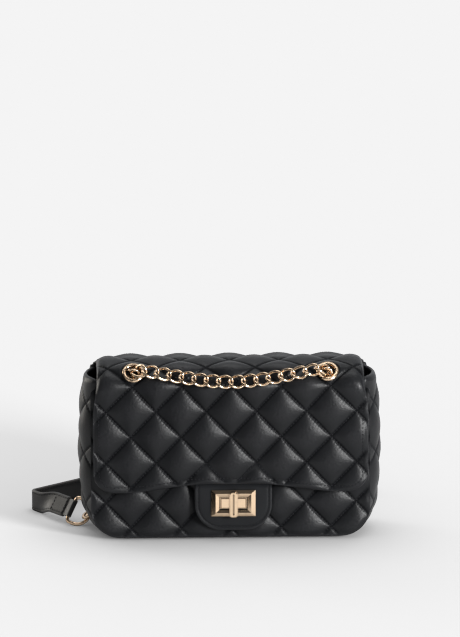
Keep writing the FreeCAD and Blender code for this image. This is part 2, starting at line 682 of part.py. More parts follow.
def strap_section(spec, reach, drop):
    """Section of the strap near a ring. drop is 0 where it leans like the bar and 1 where it is upright."""
    middle, along, _, bar, _ = strap_end(spec)
    lean = STRAP_LEAN * (1 - drop)
    flat = (bar - Z * bar.z).normalize()
    width = Z * math.cos(lean) + flat * math.sin(lean)
    thick = flat * math.cos(lean) - Z * math.sin(lean)
    centre = middle + along * reach
    centre.z = RING_Z + (STRAP_W / 2 - RING_Z) * drop
    wide, deep = width * (STRAP_W / 2), thick * (STRAP_T / 2)
    corners = ((-1, -1), (1, -1), (1, 1), (-1, 1), (-1, -1))
    return Part.makePolygon([centre + wide * i + deep * j for i, j in corners])


def strap_end_piece(spec):
    """Strap from near a ring to where it stands upright, with the pocket that holds the ring's loop."""
    ends = [strap_section(spec, reach, 0) for reach in (STRAP_START, STRAP_STRAIGHT)]
    straight = Part.makeLoft(ends, True, True)
    sections = []
    for i in range(6):
        share = i / 5
        reach = STRAP_STRAIGHT + (STRAP_UPRIGHT - STRAP_STRAIGHT) * share
        sections.append(strap_section(spec, reach, share * share * (3 - 2 * share)))
    piece = straight.fuse(Part.makeLoft(sections, True, False))
    middle, along, _, bar, _ = strap_end(spec)
    half, half_w = LOOP_T / 2 + 0.05, LOOP_W / 2 + 0.1
    return piece.cut(placed(box(0, 22.2, -half, half, -half_w, half_w), middle, along, bar.cross(along)))


def strap_plan():
    """Middle line of the upright strap seen from above: (kind, values) for each straight and each bend."""
    middle, along = strap_end(RING_LEFT)[:2]
    heading = math.radians(RING_LEFT[2])
    spot = middle + along * STRAP_UPRIGHT
    spot.z = 0
    pieces = []

    def run(length):
        nonlocal spot
        end = spot + Vector(math.cos(heading), math.sin(heading), 0) * length
        pieces.append(("line", spot, end))
        spot = end

    def bend(degrees, radius):
        nonlocal spot, heading
        side = 1 if degrees > 0 else -1
        centre = spot + Vector(-math.sin(heading), math.cos(heading), 0) * (side * radius)
        pieces.append(("arc", centre, radius, side, heading, math.radians(degrees)))
        heading += math.radians(degrees)
        spot = centre + Vector(math.sin(heading), -math.cos(heading), 0) * (side * radius)

    slant = RING_LEFT[2] - STRAP_FOLD
    far_y = RING_RIGHT[1] + 4 * STRAP_TURN_R
    run(7.0)
    bend(-STRAP_FOLD, STRAP_FOLD_R)
    rise = far_y - spot.y - STRAP_BEND_R * (1 - math.cos(math.radians(slant)))
    run(rise / math.sin(math.radians(slant)))
    bend(-slant, STRAP_BEND_R)
    run(STRAP_RIGHT_X - spot.x)
    bend(-180, STRAP_TURN_R)
    run(spot.x - STRAP_LEFT_X)
    bend(180, STRAP_TURN_R)
    run(RING_RIGHT[0] - STRAP_UPRIGHT - spot.x)
    return pieces


def strap_band():
    """Long leather strap, standing on its edge on the floor and doubled back twice behind the purse."""
    half = STRAP_T / 2
    near, far = [], []
    for piece in strap_plan():
        if piece[0] == "line":
            start, end = piece[1:]
            side = Z.cross((end - start).normalize())
            near.append(Part.makeLine(start + side * half, end + side * half))
            far.append(Part.makeLine(start - side * half, end - side * half))
            continue
        centre, radius, side, heading, angle = piece[1:]

        def at(share, reach):
            turn = heading + angle * share
            return centre + Vector(math.sin(turn), -math.cos(turn), 0) * (side * reach)

        for edges, reach in ((near, radius - side * half), (far, radius + side * half)):
            edges.append(Part.Arc(at(0, reach), at(0.5, reach), at(1, reach)).toShape())
    first, last = near[0].Vertexes[0].Point, far[0].Vertexes[0].Point
    ends = near[-1].Vertexes[-1].Point, far[-1].Vertexes[-1].Point
    caps = [Part.makeLine(first, last), Part.makeLine(*ends)]
    wire = Part.Wire(Part.__sortEdges__(near + far + caps))
    band = Part.Face(wire).extrude(Z * STRAP_W)
    band = band.fuse([strap_end_piece(RING_LEFT), strap_end_piece(RING_RIGHT)])
    return first_solid(band.removeSplitter())


def chain_tail(spec, side, way, seat):
    """Chain from outside a back eyelet down to the floor and on to the strap's ring.

    way lists the points that the run passes, the last one next to the ring. seat is where the ring's wire crosses
    the last link, measured from the middle of that link.
    """
    middle, _, _, bar, out = strap_end(spec)
    start = back_crowns(side)[2]
    apex = middle + out * (RING_LEG + RING_HALF_W)
    toward = (apex - way[-1]).normalize()
    joint = apex - toward * (LINK_STEP / 2 + seat)
    path = smooth_path([start] + way[:-1] + [joint])

    def facing(t):
        share = min(1.0, max(0.0, (t - 0.66) / 0.26))
        share = share * share * (3 - 2 * share)
        return (Y * (1 - share) + Z * share).normalize()

    links = links_along(path, facing)
    links.append(link_between(joint, joint + toward * LINK_STEP, (bar + Z * 0.4).normalize()))
    return links


def tail_left():
    x = -EYELET_X
    hanging = [Vector(x, 36.2, 116.4), Vector(x, 37.6, 100), Vector(x, 37.8, 60), Vector(x - 1.0, 38.4, 26)]
    lying = [Vector(x - 8.0, 40.0, 9.0), Vector(x - 18.0, 40.5, 4.6), Vector(x - 29.0, 36.5, 4.2)]
    return chain_tail(RING_LEFT, -1, hanging + lying + [Vector(x - 33.6, 26.0, 5.2)], 0.75)


def tail_right():
    x = EYELET_X
    hanging = [Vector(x, 36.2, 116.4), Vector(x, 37.6, 100), Vector(x, 37.8, 60), Vector(x, 38.6, 26)]
    lying = [Vector(x - 0.6, 42.5, 9.5), Vector(x - 3.5, 51.0, 4.6), Vector(x - 10.0, 62.0, 4.6)]
    return chain_tail(RING_RIGHT, 1, hanging + lying, 1.5)


# ---------------------------------------------------------------- all the pieces
def back_eyelet_seats(panel, inside):
    """Cuts the two eyelet holes through the back panel and clears the lining behind them."""
    for side in (-1, 1):
        centre = Vector(side * EYELET_X, 0, BACK_EYELET_Z)
        panel = panel.cut(cylinder(centre, Y, EYELET_HOLE_R + 0.75, 0, 60))
        panel = panel.cut(cylinder(centre, Y, EYELET_R + 0.3, BACK_SEAT_Y, 60))
        inside = inside.cut(cylinder(centre, Y, 8.6, 10, 60))
    return first_solid(panel), first_solid(inside)


def all_parts():
    parts = {}
    parts["front_panel"] = first_solid(front_panel().cut(panel_lock_holes()))
    parts["back_panel"], parts["lining"] = back_eyelet_seats(back_panel(), lining())
    parts["gusset"] = gusset()
    parts["base_board"] = first_solid(base_board())
    parts["inner_pocket"] = slip_pocket()

    quilt, inside, board = flap_front_layers()
    parts["flap_front_panel"] = first_solid(quilt.cut(tab_pocket()))
    parts["flap_front_lining"] = inside
    parts["flap_board"] = board
    quilt, inside = flap_layer("top", FLAP_QUILT_IN, FLAP_T), flap_layer("top", 0, FLAP_LINING_T)
    parts["flap_top_panel"], parts["flap_top_lining"] = flap_eyelet_seats(quilt, inside)

    for name, side, spec in (("left", -1, RING_LEFT), ("right", 1, RING_RIGHT)):
        centre = shoulder_centre() + X * (side * EYELET_X)
        sleeve, washer = eyelet_set(centre, eyelet_axis(), EYELET_SEAT, SHOULDER_R - 2.6)
        parts["flap_eyelet_" + name], parts["flap_eyelet_washer_" + name] = sleeve, washer
        centre = Vector(side * EYELET_X, 0, BACK_EYELET_Z)
        sleeve, washer = eyelet_set(centre, Y, BACK_SEAT_Y, BACK_SEAT_Y - 5.35)
        parts["back_eyelet_" + name], parts["back_eyelet_washer_" + name] = sleeve, washer
        parts["flap_eyelet_link_" + name] = flap_eyelet_link(side)
        parts["chain_inner_" + name] = Part.makeCompound(inner_run(side))
        parts["back_eyelet_links_" + name] = Part.makeCompound(back_eyelet_links(side))
        parts["strap_ring_" + name] = d_ring(spec)
        parts["ring_loop_" + name] = ring_loop(spec)
    parts["chain_front"] = Part.makeCompound(front_run())
    parts["chain_tail_left"] = Part.makeCompound(tail_left())
    parts["chain_tail_right"] = Part.makeCompound(tail_right())
    parts["strap_band"] = strap_band()

    parts["lock_tab_face"] = tab_ply(TAB_FACE_FRONT, TAB_FACE_BACK, 0)
    parts["lock_tab_back"] = tab_ply(TAB_BACK_FRONT, TAB_BACK_BACK, 0.3)
    parts["lock_frame"] = lock_frame()
    parts["lock_frame_backing"] = lock_frame_backing()
    parts["lock_frame_screws"] = lock_frame_screws()
    parts["lock_base_plate"] = lock_base_plate()
    parts["lock_backing_plate"] = lock_backing_plate()
    parts["detent_spring"] = detent_spring()
    parts["turn_bar"] = turn_bar()
    parts["bar_retainer"] = bar_retainer()
    return parts


def main():
    os.makedirs("parts", exist_ok=True)
    for name, shape in all_parts().items():
        shape.exportStep("parts/" + name + ".step")
        size = shape.BoundBox
        print(name, len(shape.Solids), "solids", round(size.XLength), round(size.YLength), round(size.ZLength))


if __name__ == "__main__":
    main()
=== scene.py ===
"""The looks of a quilted flap purse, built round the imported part.

Shapes are worked out in millimetres in the part's own frame: +X right, front towards -Y, +Z up.
Most soft pieces are a flat sheet with coordinates (u, v), laid on a curved surface and padded.
u and v are in millimetres too.
"""

import json
import math

import bpy
import numpy as np
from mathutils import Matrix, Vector
from mathutils.geometry import delaunay_2d_cdt

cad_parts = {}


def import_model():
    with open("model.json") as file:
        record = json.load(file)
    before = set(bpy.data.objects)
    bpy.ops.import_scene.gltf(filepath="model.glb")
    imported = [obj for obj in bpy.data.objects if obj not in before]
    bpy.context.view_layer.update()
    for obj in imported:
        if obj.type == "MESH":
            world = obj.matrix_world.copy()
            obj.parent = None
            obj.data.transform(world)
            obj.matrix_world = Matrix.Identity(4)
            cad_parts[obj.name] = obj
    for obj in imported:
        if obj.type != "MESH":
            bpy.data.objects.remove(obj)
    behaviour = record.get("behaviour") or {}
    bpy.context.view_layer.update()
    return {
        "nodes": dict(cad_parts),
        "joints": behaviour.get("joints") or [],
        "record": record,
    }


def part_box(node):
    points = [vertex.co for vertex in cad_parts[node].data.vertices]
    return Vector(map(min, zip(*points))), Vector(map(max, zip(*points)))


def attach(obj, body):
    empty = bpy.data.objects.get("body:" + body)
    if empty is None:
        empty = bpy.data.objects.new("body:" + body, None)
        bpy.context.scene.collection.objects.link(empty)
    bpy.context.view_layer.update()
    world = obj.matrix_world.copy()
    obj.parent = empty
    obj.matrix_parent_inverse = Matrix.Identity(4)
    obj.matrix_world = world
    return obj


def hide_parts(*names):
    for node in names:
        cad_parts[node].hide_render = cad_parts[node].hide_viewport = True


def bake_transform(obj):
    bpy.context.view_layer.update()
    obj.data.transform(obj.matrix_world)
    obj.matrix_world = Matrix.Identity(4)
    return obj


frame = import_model()

MM = 0.001
JOINTS = {joint["name"]: joint for joint in frame["joints"]}
SLOT_OF = {part["node"]: part["material_slot"] for part in frame["record"]["subparts"]}


def joint_point(name):
    return np.array(JOINTS[name]["pos_m"], float) / MM


def node_box(name):
    low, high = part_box(name)
    return np.array(low) / MM, np.array(high) / MM


# ---------------------------------------------------------------- sizes
QUILT_T = 5.0  # thickness of a quilted panel
QUILT_W, QUILT_H = 41.4, 43.0  # one diamond, across and along
PUFF = 4.0  # height of a diamond above its stitches
GATHER, GATHER_REACH = 0.3, 2.5  # small gathers between neighbouring stitches
GROOVE, GROOVE_REACH = 0.6, 0.75  # the groove pulled in along a line of stitches
GROOVE_SHADE_REACH = 1.1  # how far the painted shade along a line of stitches reaches: less gloss there
PROUD = 0.3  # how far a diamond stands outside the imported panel
CELLS = 33  # mesh cells along one side of a diamond
STITCH_CELLS = 3  # mesh cells in one stitch
CELL = math.hypot(QUILT_W, QUILT_H) / 2 / CELLS  # size of one cell
QUILT_ROW_Z = 89.0  # height of a row of stitch crossings on the flap's front
SKIN_ORIGIN = (0.0, 0.0)  # a stitch crossing on the flap and back, on the front panel, and on the gusset
FRONT_ORIGIN = (0.0, 10.5)
GUSSET_ORIGIN = (-12.0, 22.5)
GUSSET_TOP_Z = 135.5

CORNER_R = 24.0
FLAP_CORNER_R = 17.0
FLAP_MID_RISE = 7.0  # the flap's lower edge is this much higher at its middle
FLAP_T = 7.0
FLAP_LINING_T = 0.8
SHOULDER_R = 21.5  # outer radius of the flap's shoulder
EYELET_RISE = math.radians(50)
EYELET_SEAT = 19.1  # the skin is pressed in to this distance from the shoulder's centre
EYELET_HOLE_R = 7.0
BACK_SEAT_Y = 29.5
LINING_INSET = 8.6

STRAP_HEADING, STRAP_LEAN = math.radians(125.8), math.radians(32)
STRAP_W, STRAP_T = 17.6, 2.8
STRAP_START, STRAP_STRAIGHT, STRAP_UPRIGHT = 6.5, 24.0, 46.0
STRAP_FOLD, STRAP_FOLD_R = math.radians(85.8), 3.2
STRAP_BEND_R, STRAP_TURN_R = 30.0, 14.0
STRAP_LEFT_X, STRAP_RIGHT_X = -72.0, 86.0
LOOP_W, LOOP_PLY_T, LOOP_EYE_R, LOOP_LENGTH = 15.0, 0.75, 1.68, 21.5

front_low, front_high = node_box("front_panel")
back_low, back_high = node_box("back_panel")
flap_low, _ = node_box("flap_front_panel")
_, crest = node_box("flap_top_panel")
PANEL_HALF, BASE_Z, FRONT_TOP_Z = front_high[0], front_low[2], front_high[2]
FRONT_LEAN = (front_high[1] - front_low[1] - QUILT_T) / (front_high[2] - front_low[2])
FRONT_Y = front_low[1] - FRONT_LEAN * front_low[2]
BACK_LEAN = -(back_high[1] - back_low[1] - QUILT_T) / (back_high[2] - back_low[2])
BACK_Y = back_high[1] - BACK_LEAN * back_low[2]
FLAP_HALF, FLAP_SIDE_Z = -flap_low[0], flap_low[2]
LEAN = math.atan(FRONT_LEAN)
OUT = np.array([0.0, -math.cos(LEAN), math.sin(LEAN)])
UP = np.array([0.0, math.sin(LEAN), math.cos(LEAN)])
FOLD = joint_point("flap_fold")
HINGE = joint_point("flap_lift")
SHOULDER = FOLD - OUT * SHOULDER_R
CREST_Z = crest[2]
REAR_SAG = 2.6  # the top is lower behind than in front
REAR_R = BACK_Y + BACK_LEAN * HINGE[2] - HINGE[1]
LOCK = joint_point("lock_turn")
_, EYELETS_HIGH = node_box("flap_eyelet_right")
EYELET_X = (node_box("flap_eyelet_right")[0][0] + EYELETS_HIGH[0]) / 2
BACK_EYELET_Z = sum(node_box("back_eyelet_right"))[2] / 2

# distances along the skin, from the row of crossings on the front, up and over to the back
V_FOLD = (FOLD[2] - QUILT_ROW_Z) / math.cos(LEAN)
V_CREST = V_FOLD + SHOULDER_R * (math.pi / 2 - LEAN)
V_REAR = V_CREST + HINGE[1] - SHOULDER[1]
V_BACK = V_REAR + REAR_R * math.pi / 2
V_SPLIT = V_CREST + 10.0  # where the skin is divided into its front and rear pieces
BACK_TURN_Z = CREST_Z - REAR_R


def front_y(z):
    return FRONT_Y + FRONT_LEAN * z


def back_y(z):
    return BACK_Y + BACK_LEAN * z


def smooth(t):
    t = np.clip(t, 0, 1)
    return t * t * (3 - 2 * t)


def unit(rows):
    """Each row made one long."""
    return rows / np.linalg.norm(rows, axis=1)[:, None]


def reach_along(line):
    """Distance of each point of a line from its start, along the line."""
    return np.concatenate([[0], np.cumsum(np.linalg.norm(np.diff(line, axis=0), axis=1))])


def bell(t):
    """1 at zero, falling to nothing on both sides."""
    return np.exp(-(t**2))


# ---------------------------------------------------------------- materials
class Nodes:
    """Short ways to add shader nodes to a new material or world."""

    def __init__(self, owner):
        self.owner = owner
        owner.use_nodes = True
        self.tree = owner.node_tree
        self.shader = self.tree.nodes.get("Principled BSDF")

    def put(self, socket, value):
        """Links a socket to another node's output, or sets its value."""
        if isinstance(value, bpy.types.NodeSocket):
            self.tree.links.new(value, socket)
        else:
            socket.default_value = value

    def add(self, kind, inputs=(), **settings):
        node = self.tree.nodes.new(kind)
        for key, value in settings.items():
            setattr(node, key, value)
        for key, value in dict(inputs).items():
            self.put(node.inputs[key], value)
        return node

    def set(self, key, value):
        self.put(self.shader.inputs[key], value)

    def place(self, flat):
        """Coordinates in metres: along a soft piece's own surface, or in the purse's frame."""
        if flat:
            return self.add("ShaderNodeAttribute", attribute_name="flat").outputs["Vector"]
        return self.add("ShaderNodeTexCoord").outputs["Object"]

    def mapped(self, vector, key, value):
        return self.add("ShaderNodeMapping", {"Vector": vector, key: value}).outputs[0]

    def noise(self, vector, size, detail=3.0, roughness=0.5):
        """Noise of the given feature size in metres."""
        values = {"Vector": vector, "Scale": 1 / size, "Detail": detail, "Roughness": roughness}
        return self.add("ShaderNodeTexNoise", values).outputs["Fac"]

    def wave(self, vector, scale, distortion, detail=2.0):
        values = {"Vector": vector, "Scale": scale, "Distortion": distortion, "Detail": detail}
        return self.add("ShaderNodeTexWave", values).outputs["Fac"]

    def ramp(self, value, low, high, to_low, to_high):
        inputs = {"Value": value, "From Min": low, "From Max": high, "To Min": to_low, "To Max": to_high}
        return self.add("ShaderNodeMapRange", inputs).outputs["Result"]

    def math(self, operation, a, b=0.0):
        return self.add("ShaderNodeMath", {0: a, 1: b}, operation=operation).outputs[0]

    def mix(self, factor, a, b):
        return self.add("ShaderNodeMix", {0: factor, 6: a, 7: b}, data_type="RGBA").outputs[2]

    def open_share(self, reach, samples, **settings):
        """1 on open surfaces, and less where something stands within reach, in metres."""
        node = self.add("ShaderNodeAmbientOcclusion", {"Distance": reach}, samples=samples, **settings)
        return node.outputs["AO"]

    def bump(self, layers):
        """Normal from height layers [(height, strength, distance in metres)], finest last."""
        normal = None
        for height, strength, distance in layers:
            inputs = {"Height": height, "Strength": strength, "Distance": distance}
            if normal is not None:
                inputs["Normal"] = normal
            normal = self.add("ShaderNodeBump", inputs).outputs["Normal"]
        self.set("Normal", normal)


def material_nodes(name):
    return Nodes(bpy.data.materials.new(name))


def tinted(colour, share=1.0):
    """A colour made darker or lighter by a share, with alpha."""
    return (*[c * share for c in colour], 1)


CREASE_REACH = 0.0045  # metres; painted shade: leather is darker and less glossy where other leather is nearer than this
RECESS_REACH = 0.0022  # metres; the same painted shade on metal, in its recesses
SUNK_GLOSS = 0.12  # share of the gloss left where shade is painted: deep in a line of stitches, and on the tab under the flap's edge


def leather(name, colour, worn, roughness, specular, grain):
    """Coated leather: pebbled grain, soft creases, paler and smoother crests and edges, painted shade in deep
    creases, and less gloss where shade is painted.
    """
    n = material_nodes(name)
    at = n.place(True)
    cloudy = n.noise(at, 0.018, 2.0)
    fine = n.noise(at, 0.0016, 4.0, 0.65)
    voronoi = {"Vector": at, "Scale": 1 / grain, "Randomness": 0.9}
    pebbles = n.add("ShaderNodeTexVoronoi", voronoi, feature="SMOOTH_F1").outputs["Distance"]
    creases = n.noise(n.mapped(at, "Scale", (1.0, 2.4, 1.0)), 0.006, 5.0, 0.6)
    # the point value holds wear above 0 and painted shade below 0
    marked = n.add("ShaderNodeAttribute", attribute_name="wear_and_shade").outputs["Fac"]
    wear_and_shade, painted_shade_share = n.math("MAXIMUM", marked, 0.0), n.math("MAXIMUM", n.math("MULTIPLY", marked, -1.0), 0.0)
    worn_share = n.math("MULTIPLY", wear_and_shade, n.ramp(fine, 0.35, 0.7, 0.15, 0.9))
    base = n.mix(n.ramp(cloudy, 0.3, 0.7, 0.0, 0.5), tinted(colour), tinted(colour, 1.6))
    lit = n.mix(worn_share, base, tinted(worn))
    # painted shade: colour and gloss go dark where other leather stands near, in creases and seams
    open_share = n.ramp(n.open_share(CREASE_REACH, 4), 0.35, 0.9, 0.08, 1.0)
    n.set("Base Color", n.mix(open_share, tinted(colour, 0.2), lit))
    # painted shade: less gloss where the point value is below 0
    gloss = n.ramp(painted_shade_share, 0.0, 1.0, specular, specular * SUNK_GLOSS)
    n.set("Specular IOR Level", n.math("MULTIPLY", gloss, open_share))
    rough = n.ramp(fine, 0.3, 0.7, roughness - 0.05, roughness + 0.07)
    n.set("Roughness", n.math("SUBTRACT", rough, n.math("MULTIPLY", wear_and_shade, 0.05)))
    n.bump([(creases, 0.35, 0.0004), (pebbles, 0.32, 0.00016), (fine, 0.25, 0.00008)])
    return n.owner


def plated(name, colour, roughness, own_shade=True):
    """Polished plated metal with faint brushing and small dents, and painted shade that darkens its recesses.

    own_shade means that only the piece itself makes a recess, and not its neighbours."""
    n = material_nodes(name)
    at = n.place(False)
    tarnish = n.noise(at, 0.007, 3.0)
    brushed = n.noise(n.mapped(at, "Scale", (1.0, 1.0, 9.0)), 0.0009, 4.0, 0.7)
    # painted shade: the colour goes dark in recesses
    open_share = n.ramp(n.open_share(RECESS_REACH, 6, only_local=own_shade), 0.35, 0.85, 0.0, 1.0)
    base = n.mix(n.ramp(tarnish, 0.45, 0.75, 0.0, 0.55), tinted(colour), tinted(colour, 0.8))
    n.set("Base Color", n.mix(open_share, tinted(colour, 0.16), base))
    n.set("Metallic", 1.0)
    n.set("Roughness", n.ramp(brushed, 0.3, 0.7, roughness - 0.04, roughness + 0.06))
    n.bump([(tarnish, 0.12, 0.0002), (brushed, 0.06, 0.00002)])
    return n.owner


def woven(name, colour):
    """Fine plain-weave lining cloth with a soft sheen."""
    n = material_nodes(name)
    at = n.place(True)
    threads = [n.wave(n.mapped(at, "Rotation", (0, 0, turn)), 320.0, 0.4, 1.0) for turn in (0.0, math.pi / 2)]
    weave = n.math("MAXIMUM", *threads)
    cloudy = n.noise(at, 0.03, 3.0)
    shade = n.math("MULTIPLY", weave, n.ramp(cloudy, 0.3, 0.7, 0.5, 1.0))
    n.set("Base Color", n.mix(shade, tinted(colour), tinted(colour, 1.9)))
    n.set("Roughness", 0.75)
    n.set("Sheen Weight", 0.25)
    n.set("Specular IOR Level", 0.25)
    n.bump([(cloudy, 0.3, 0.001), (weave, 0.4, 0.00012)])
    return n.owner


def pressed_board(name, colour):
    n = material_nodes(name)
    fibres = n.noise(n.mapped(n.place(False), "Scale", (1.0, 4.0, 4.0)), 0.004, 6.0, 0.7)
    n.set("Base Color", n.mix(fibres, tinted(colour, 0.7), tinted(colour)))
    n.set("Roughness", 0.85)
    n.bump([(fibres, 0.4, 0.0002)])
    return n.owner


def thread(name, colour):
    n = material_nodes(name)
    twist = n.wave(n.place(False), 900.0, 1.0)
    n.set("Base Color", n.mix(twist, tinted(colour), tinted(colour, 2.2)))
    n.set("Roughness", 0.55)
    n.set("Specular IOR Level", 0.12)
    n.bump([(twist, 0.3, 0.0001)])
    return n.owner


def plain(name, grey, roughness, specular):
    """A plain matt material for the things round the purse."""
    n = material_nodes(name)
    n.set("Base Color", (grey, grey, grey, 1))
    n.set("Roughness", roughness)
    n.set("Specular IOR Level", specular)
    return n.owner


QUILTED = leather("quilted_leather", (0.0050, 0.0053, 0.0060), (0.020, 0.020, 0.022), 0.38, 0.165, 0.0009)
SMOOTH = leather("smooth_leather", (0.0064, 0.0068, 0.0076), (0.030, 0.030, 0.032), 0.42, 0.11, 0.0007)
STRAP = leather("strap_leather", (0.0085, 0.0083, 0.0085), (0.060, 0.056, 0.052), 0.44, 0.30, 0.0008)
LINING = woven("lining_fabric", (0.012, 0.012, 0.014))
PALE_GOLD = (0.86, 0.64, 0.44)
GOLD = plated("pale_gold", PALE_GOLD, 0.15)
# the lock's pieces are painted darker where neighbouring pieces shade them too
LOCK_GOLD = plated("pale_gold_lock", PALE_GOLD, 0.15, own_shade=False)
STEEL = plated("plain_steel", (0.60, 0.60, 0.61), 0.32)
BOARD = pressed_board("stiff_board", (0.42, 0.36, 0.28))
THREAD = thread("black_thread", (0.006, 0.006, 0.007))
CAD_MATERIALS = {"pale_gold": GOLD, "plain_steel": STEEL, "stiff_board": BOARD}


# ---------------------------------------------------------------- quilting, from a cloth simulation
FIELD_REPEAT = 4  # diamonds each way in the simulated cloth, before it repeats
CLOTH_UNIT = 10.0  # millimetres in one unit of the simulation
CLOTH_FRAMES = 20


def quilt_start(p, q):
    """A plain puffed shape, 0 at the stitches. p and q count stitch lines."""
    return np.abs(np.sin(np.pi * p) * np.sin(np.pi * q)) ** 0.8


def grid_quads(size):
    """The four corners of each cell of a square grid of points."""
    index = np.arange(size * size).reshape(size, size)
    return np.stack([index[:-1, :-1], index[1:, :-1], index[1:, 1:], index[:-1, 1:]], -1)


def inflate(p, q, height):
    """Blows up a cloth that is held down at its stitch holes, and returns its height at each grid point."""
    count = len(p)
    place = [QUILT_W * (p + q) / 2 / CLOTH_UNIT, QUILT_H * (p - q) / 2 / CLOTH_UNIT, height]
    index = np.arange(count * count).reshape(count, count)
    faces = grid_quads(count).reshape(-1, 4)
    mesh = bpy.data.meshes.new("quilt_cloth")
    mesh.from_pydata(np.stack(place, -1).reshape(-1, 3).tolist(), [], faces.tolist())
    mesh.update()
    cloth = bpy.data.objects.new("quilt_cloth", mesh)
    bpy.context.scene.collection.objects.link(cloth)
    i, j = np.meshgrid(np.arange(count), np.arange(count), indexing="ij")
    held = ((i % CELLS == 0) & (j % STITCH_CELLS == 0)) | ((j % CELLS == 0) & (i % STITCH_CELLS == 0))
    group = cloth.vertex_groups.new(name="stitch_holes")
    group.add([int(k) for k in index[held]], 1.0, "REPLACE")
    modifier = cloth.modifiers.new("inflate", "CLOTH")
    settings = modifier.settings
    settings.quality = 5
    settings.tension_stiffness = settings.compression_stiffness = 15
    settings.shear_stiffness = 5
    settings.bending_stiffness = 0.1
    settings.air_damping = 3
    settings.vertex_group_mass = group.name
    settings.shrink_min = -0.05
    settings.use_pressure = True
    settings.uniform_pressure_force = 20 if mesh.polygons[0].normal.z > 0 else -20
    settings.effector_weights.gravity = 0
    modifier.point_cache.frame_start, modifier.point_cache.frame_end = 1, CLOTH_FRAMES
    for number in range(1, CLOTH_FRAMES + 1):
        bpy.context.scene.frame_set(number)
    shown = cloth.evaluated_get(bpy.context.evaluated_depsgraph_get())
    points = np.zeros(count * count * 3)
    shown.data.vertices.foreach_get("co", points)
    bpy.data.objects.remove(cloth)
    bpy.data.meshes.remove(mesh)
    bpy.context.scene.frame_set(1)
    return points.reshape(count, count, 3)[..., 2]


def quilt_field():
    """Height of the quilting on a repeating grid: 0 at the stitch holes, about 1 in a diamond's middle."""
    count = CELLS * FIELD_REPEAT + 1
    p, q = np.meshgrid(np.arange(count) / CELLS, np.arange(count) / CELLS, indexing="ij")
    rng = np.random.default_rng(5)
    puffed = quilt_start(p, q)
    slack = 1 + 0.12 * rng.standard_normal((count, count))
    height = inflate(p, q, 0.35 * puffed * slack)
    return np.clip(height / np.percentile(height, 97), -0.05, 1.1)


FIELD = quilt_field()
FULLNESS = 0.85  # below 1, a diamond rises more steeply from its stitches


def quilt_lines(u, v, origin):
    """Lattice coordinates: each is a whole number along its own set of stitch lines."""
    u, v = (u - origin[0]) / QUILT_W, (v - origin[1]) / QUILT_H
    return u + v, u - v


def quilt_place(p, q, origin):
    return origin[0] + QUILT_W * (p + q) / 2, origin[1] + QUILT_H * (p - q) / 2


def quilted(u, v, origin):
    """Height of the quilting at (u, v), 0 to 1, with a stitch crossing at origin."""
    p, q = (k * CELLS for k in quilt_lines(u, v, origin))
    size = CELLS * FIELD_REPEAT
    i, j = np.floor(p + 1e-6).astype(int), np.floor(q + 1e-6).astype(int)
    a, b = np.clip(p - i, 0, 1), np.clip(q - j, 0, 1)
    corner = [[FIELD[(i + di) % size, (j + dj) % size] for dj in (0, 1)] for di in (0, 1)]
    low = corner[0][0] * (1 - b) + corner[0][1] * b
    high = corner[1][0] * (1 - b) + corner[1][1] * b
    height = low * (1 - a) + high * a
    return np.sign(height) * np.abs(height) ** FULLNESS


def stitch_lines(u, v, origin):
    """For both sets of lines: distance from the nearest line, and how near to midway between two holes."""
    p, q = quilt_lines(u, v, origin)
    for across, along in ((p, q), (q, p)):
        gap = np.abs(across - np.round(across)) * CELLS * CELL
        yield gap, np.sin(np.pi * along * CELLS / STITCH_CELLS) ** 2


def gathers(u, v, origin):
    """Height in mm of the small gathers beside a line of stitches, and of the groove along it."""
    gather, groove = np.zeros_like(u), np.zeros_like(u)
    for gap, midway in stitch_lines(u, v, origin):
        line = bell(gap / GROOVE_REACH)
        gather = np.maximum(gather, bell(gap / GATHER_REACH) * (1 - line) * midway)
        groove = np.maximum(groove, line)
    return GATHER * gather - GROOVE * groove


def groove_shade(u, v, origin):
    """Painted shade: 1 in the groove along a line of stitches, and 0 away from it."""
    return np.max([bell(gap / GROOVE_SHADE_REACH) for gap, _ in stitch_lines(u, v, origin)], 0)


# ---------------------------------------------------------------- flat sheets
def resample(points, spacing, closed=True):
    """The same line with evenly spaced points."""
    line = np.vstack([points, points[:1]]) if closed else np.asarray(points, float)
    reach = reach_along(line)
    count = max(2, int(round(reach[-1] / spacing)))
    want = np.linspace(0, reach[-1], count + 1)
    even = np.stack([np.interp(want, reach, line[:, k]) for k in range(line.shape[1])], -1)
    return even[:-1] if closed else even


def rounded_loop(corners, spacing=1.3):
    """Anticlockwise loop through corners (u, v, radius), as evenly spaced points."""
    points = []
    count = len(corners)
    for k, (u, v, radius) in enumerate(corners):
        here = np.array([u, v], float)
        if radius == 0:
            points.append(here)
            continue
        before = np.array(corners[k - 1][:2], float) - here
        after = np.array(corners[(k + 1) % count][:2], float) - here
        before, after = before / np.linalg.norm(before), after / np.linalg.norm(after)
        half = math.acos(np.clip(before @ after, -1, 1)) / 2
        middle = (before + after) / np.linalg.norm(before + after)
        centre = here + middle * radius / math.sin(half)
        first, last = (here + way * radius / math.tan(half) - centre for way in (before, after))
        sweep = math.pi - 2 * half
        for t in np.linspace(0, 1, 25):
            share = (math.sin((1 - t) * sweep) / math.sin(sweep), math.sin(t * sweep) / math.sin(sweep))
            points.append(centre + first * share[0] + last * share[1])
    return resample(np.array(points), spacing)


HOLE_ROOM, GAP_ROOM = 1.0, 0.8  # how far the quads stay from a round hole and from a gap
FAR_INSIDE = 20.0  # beyond this a rough distance from the edge is enough
ROUGH_STEP = 6  # every so many points of a loop are used for a rough distance


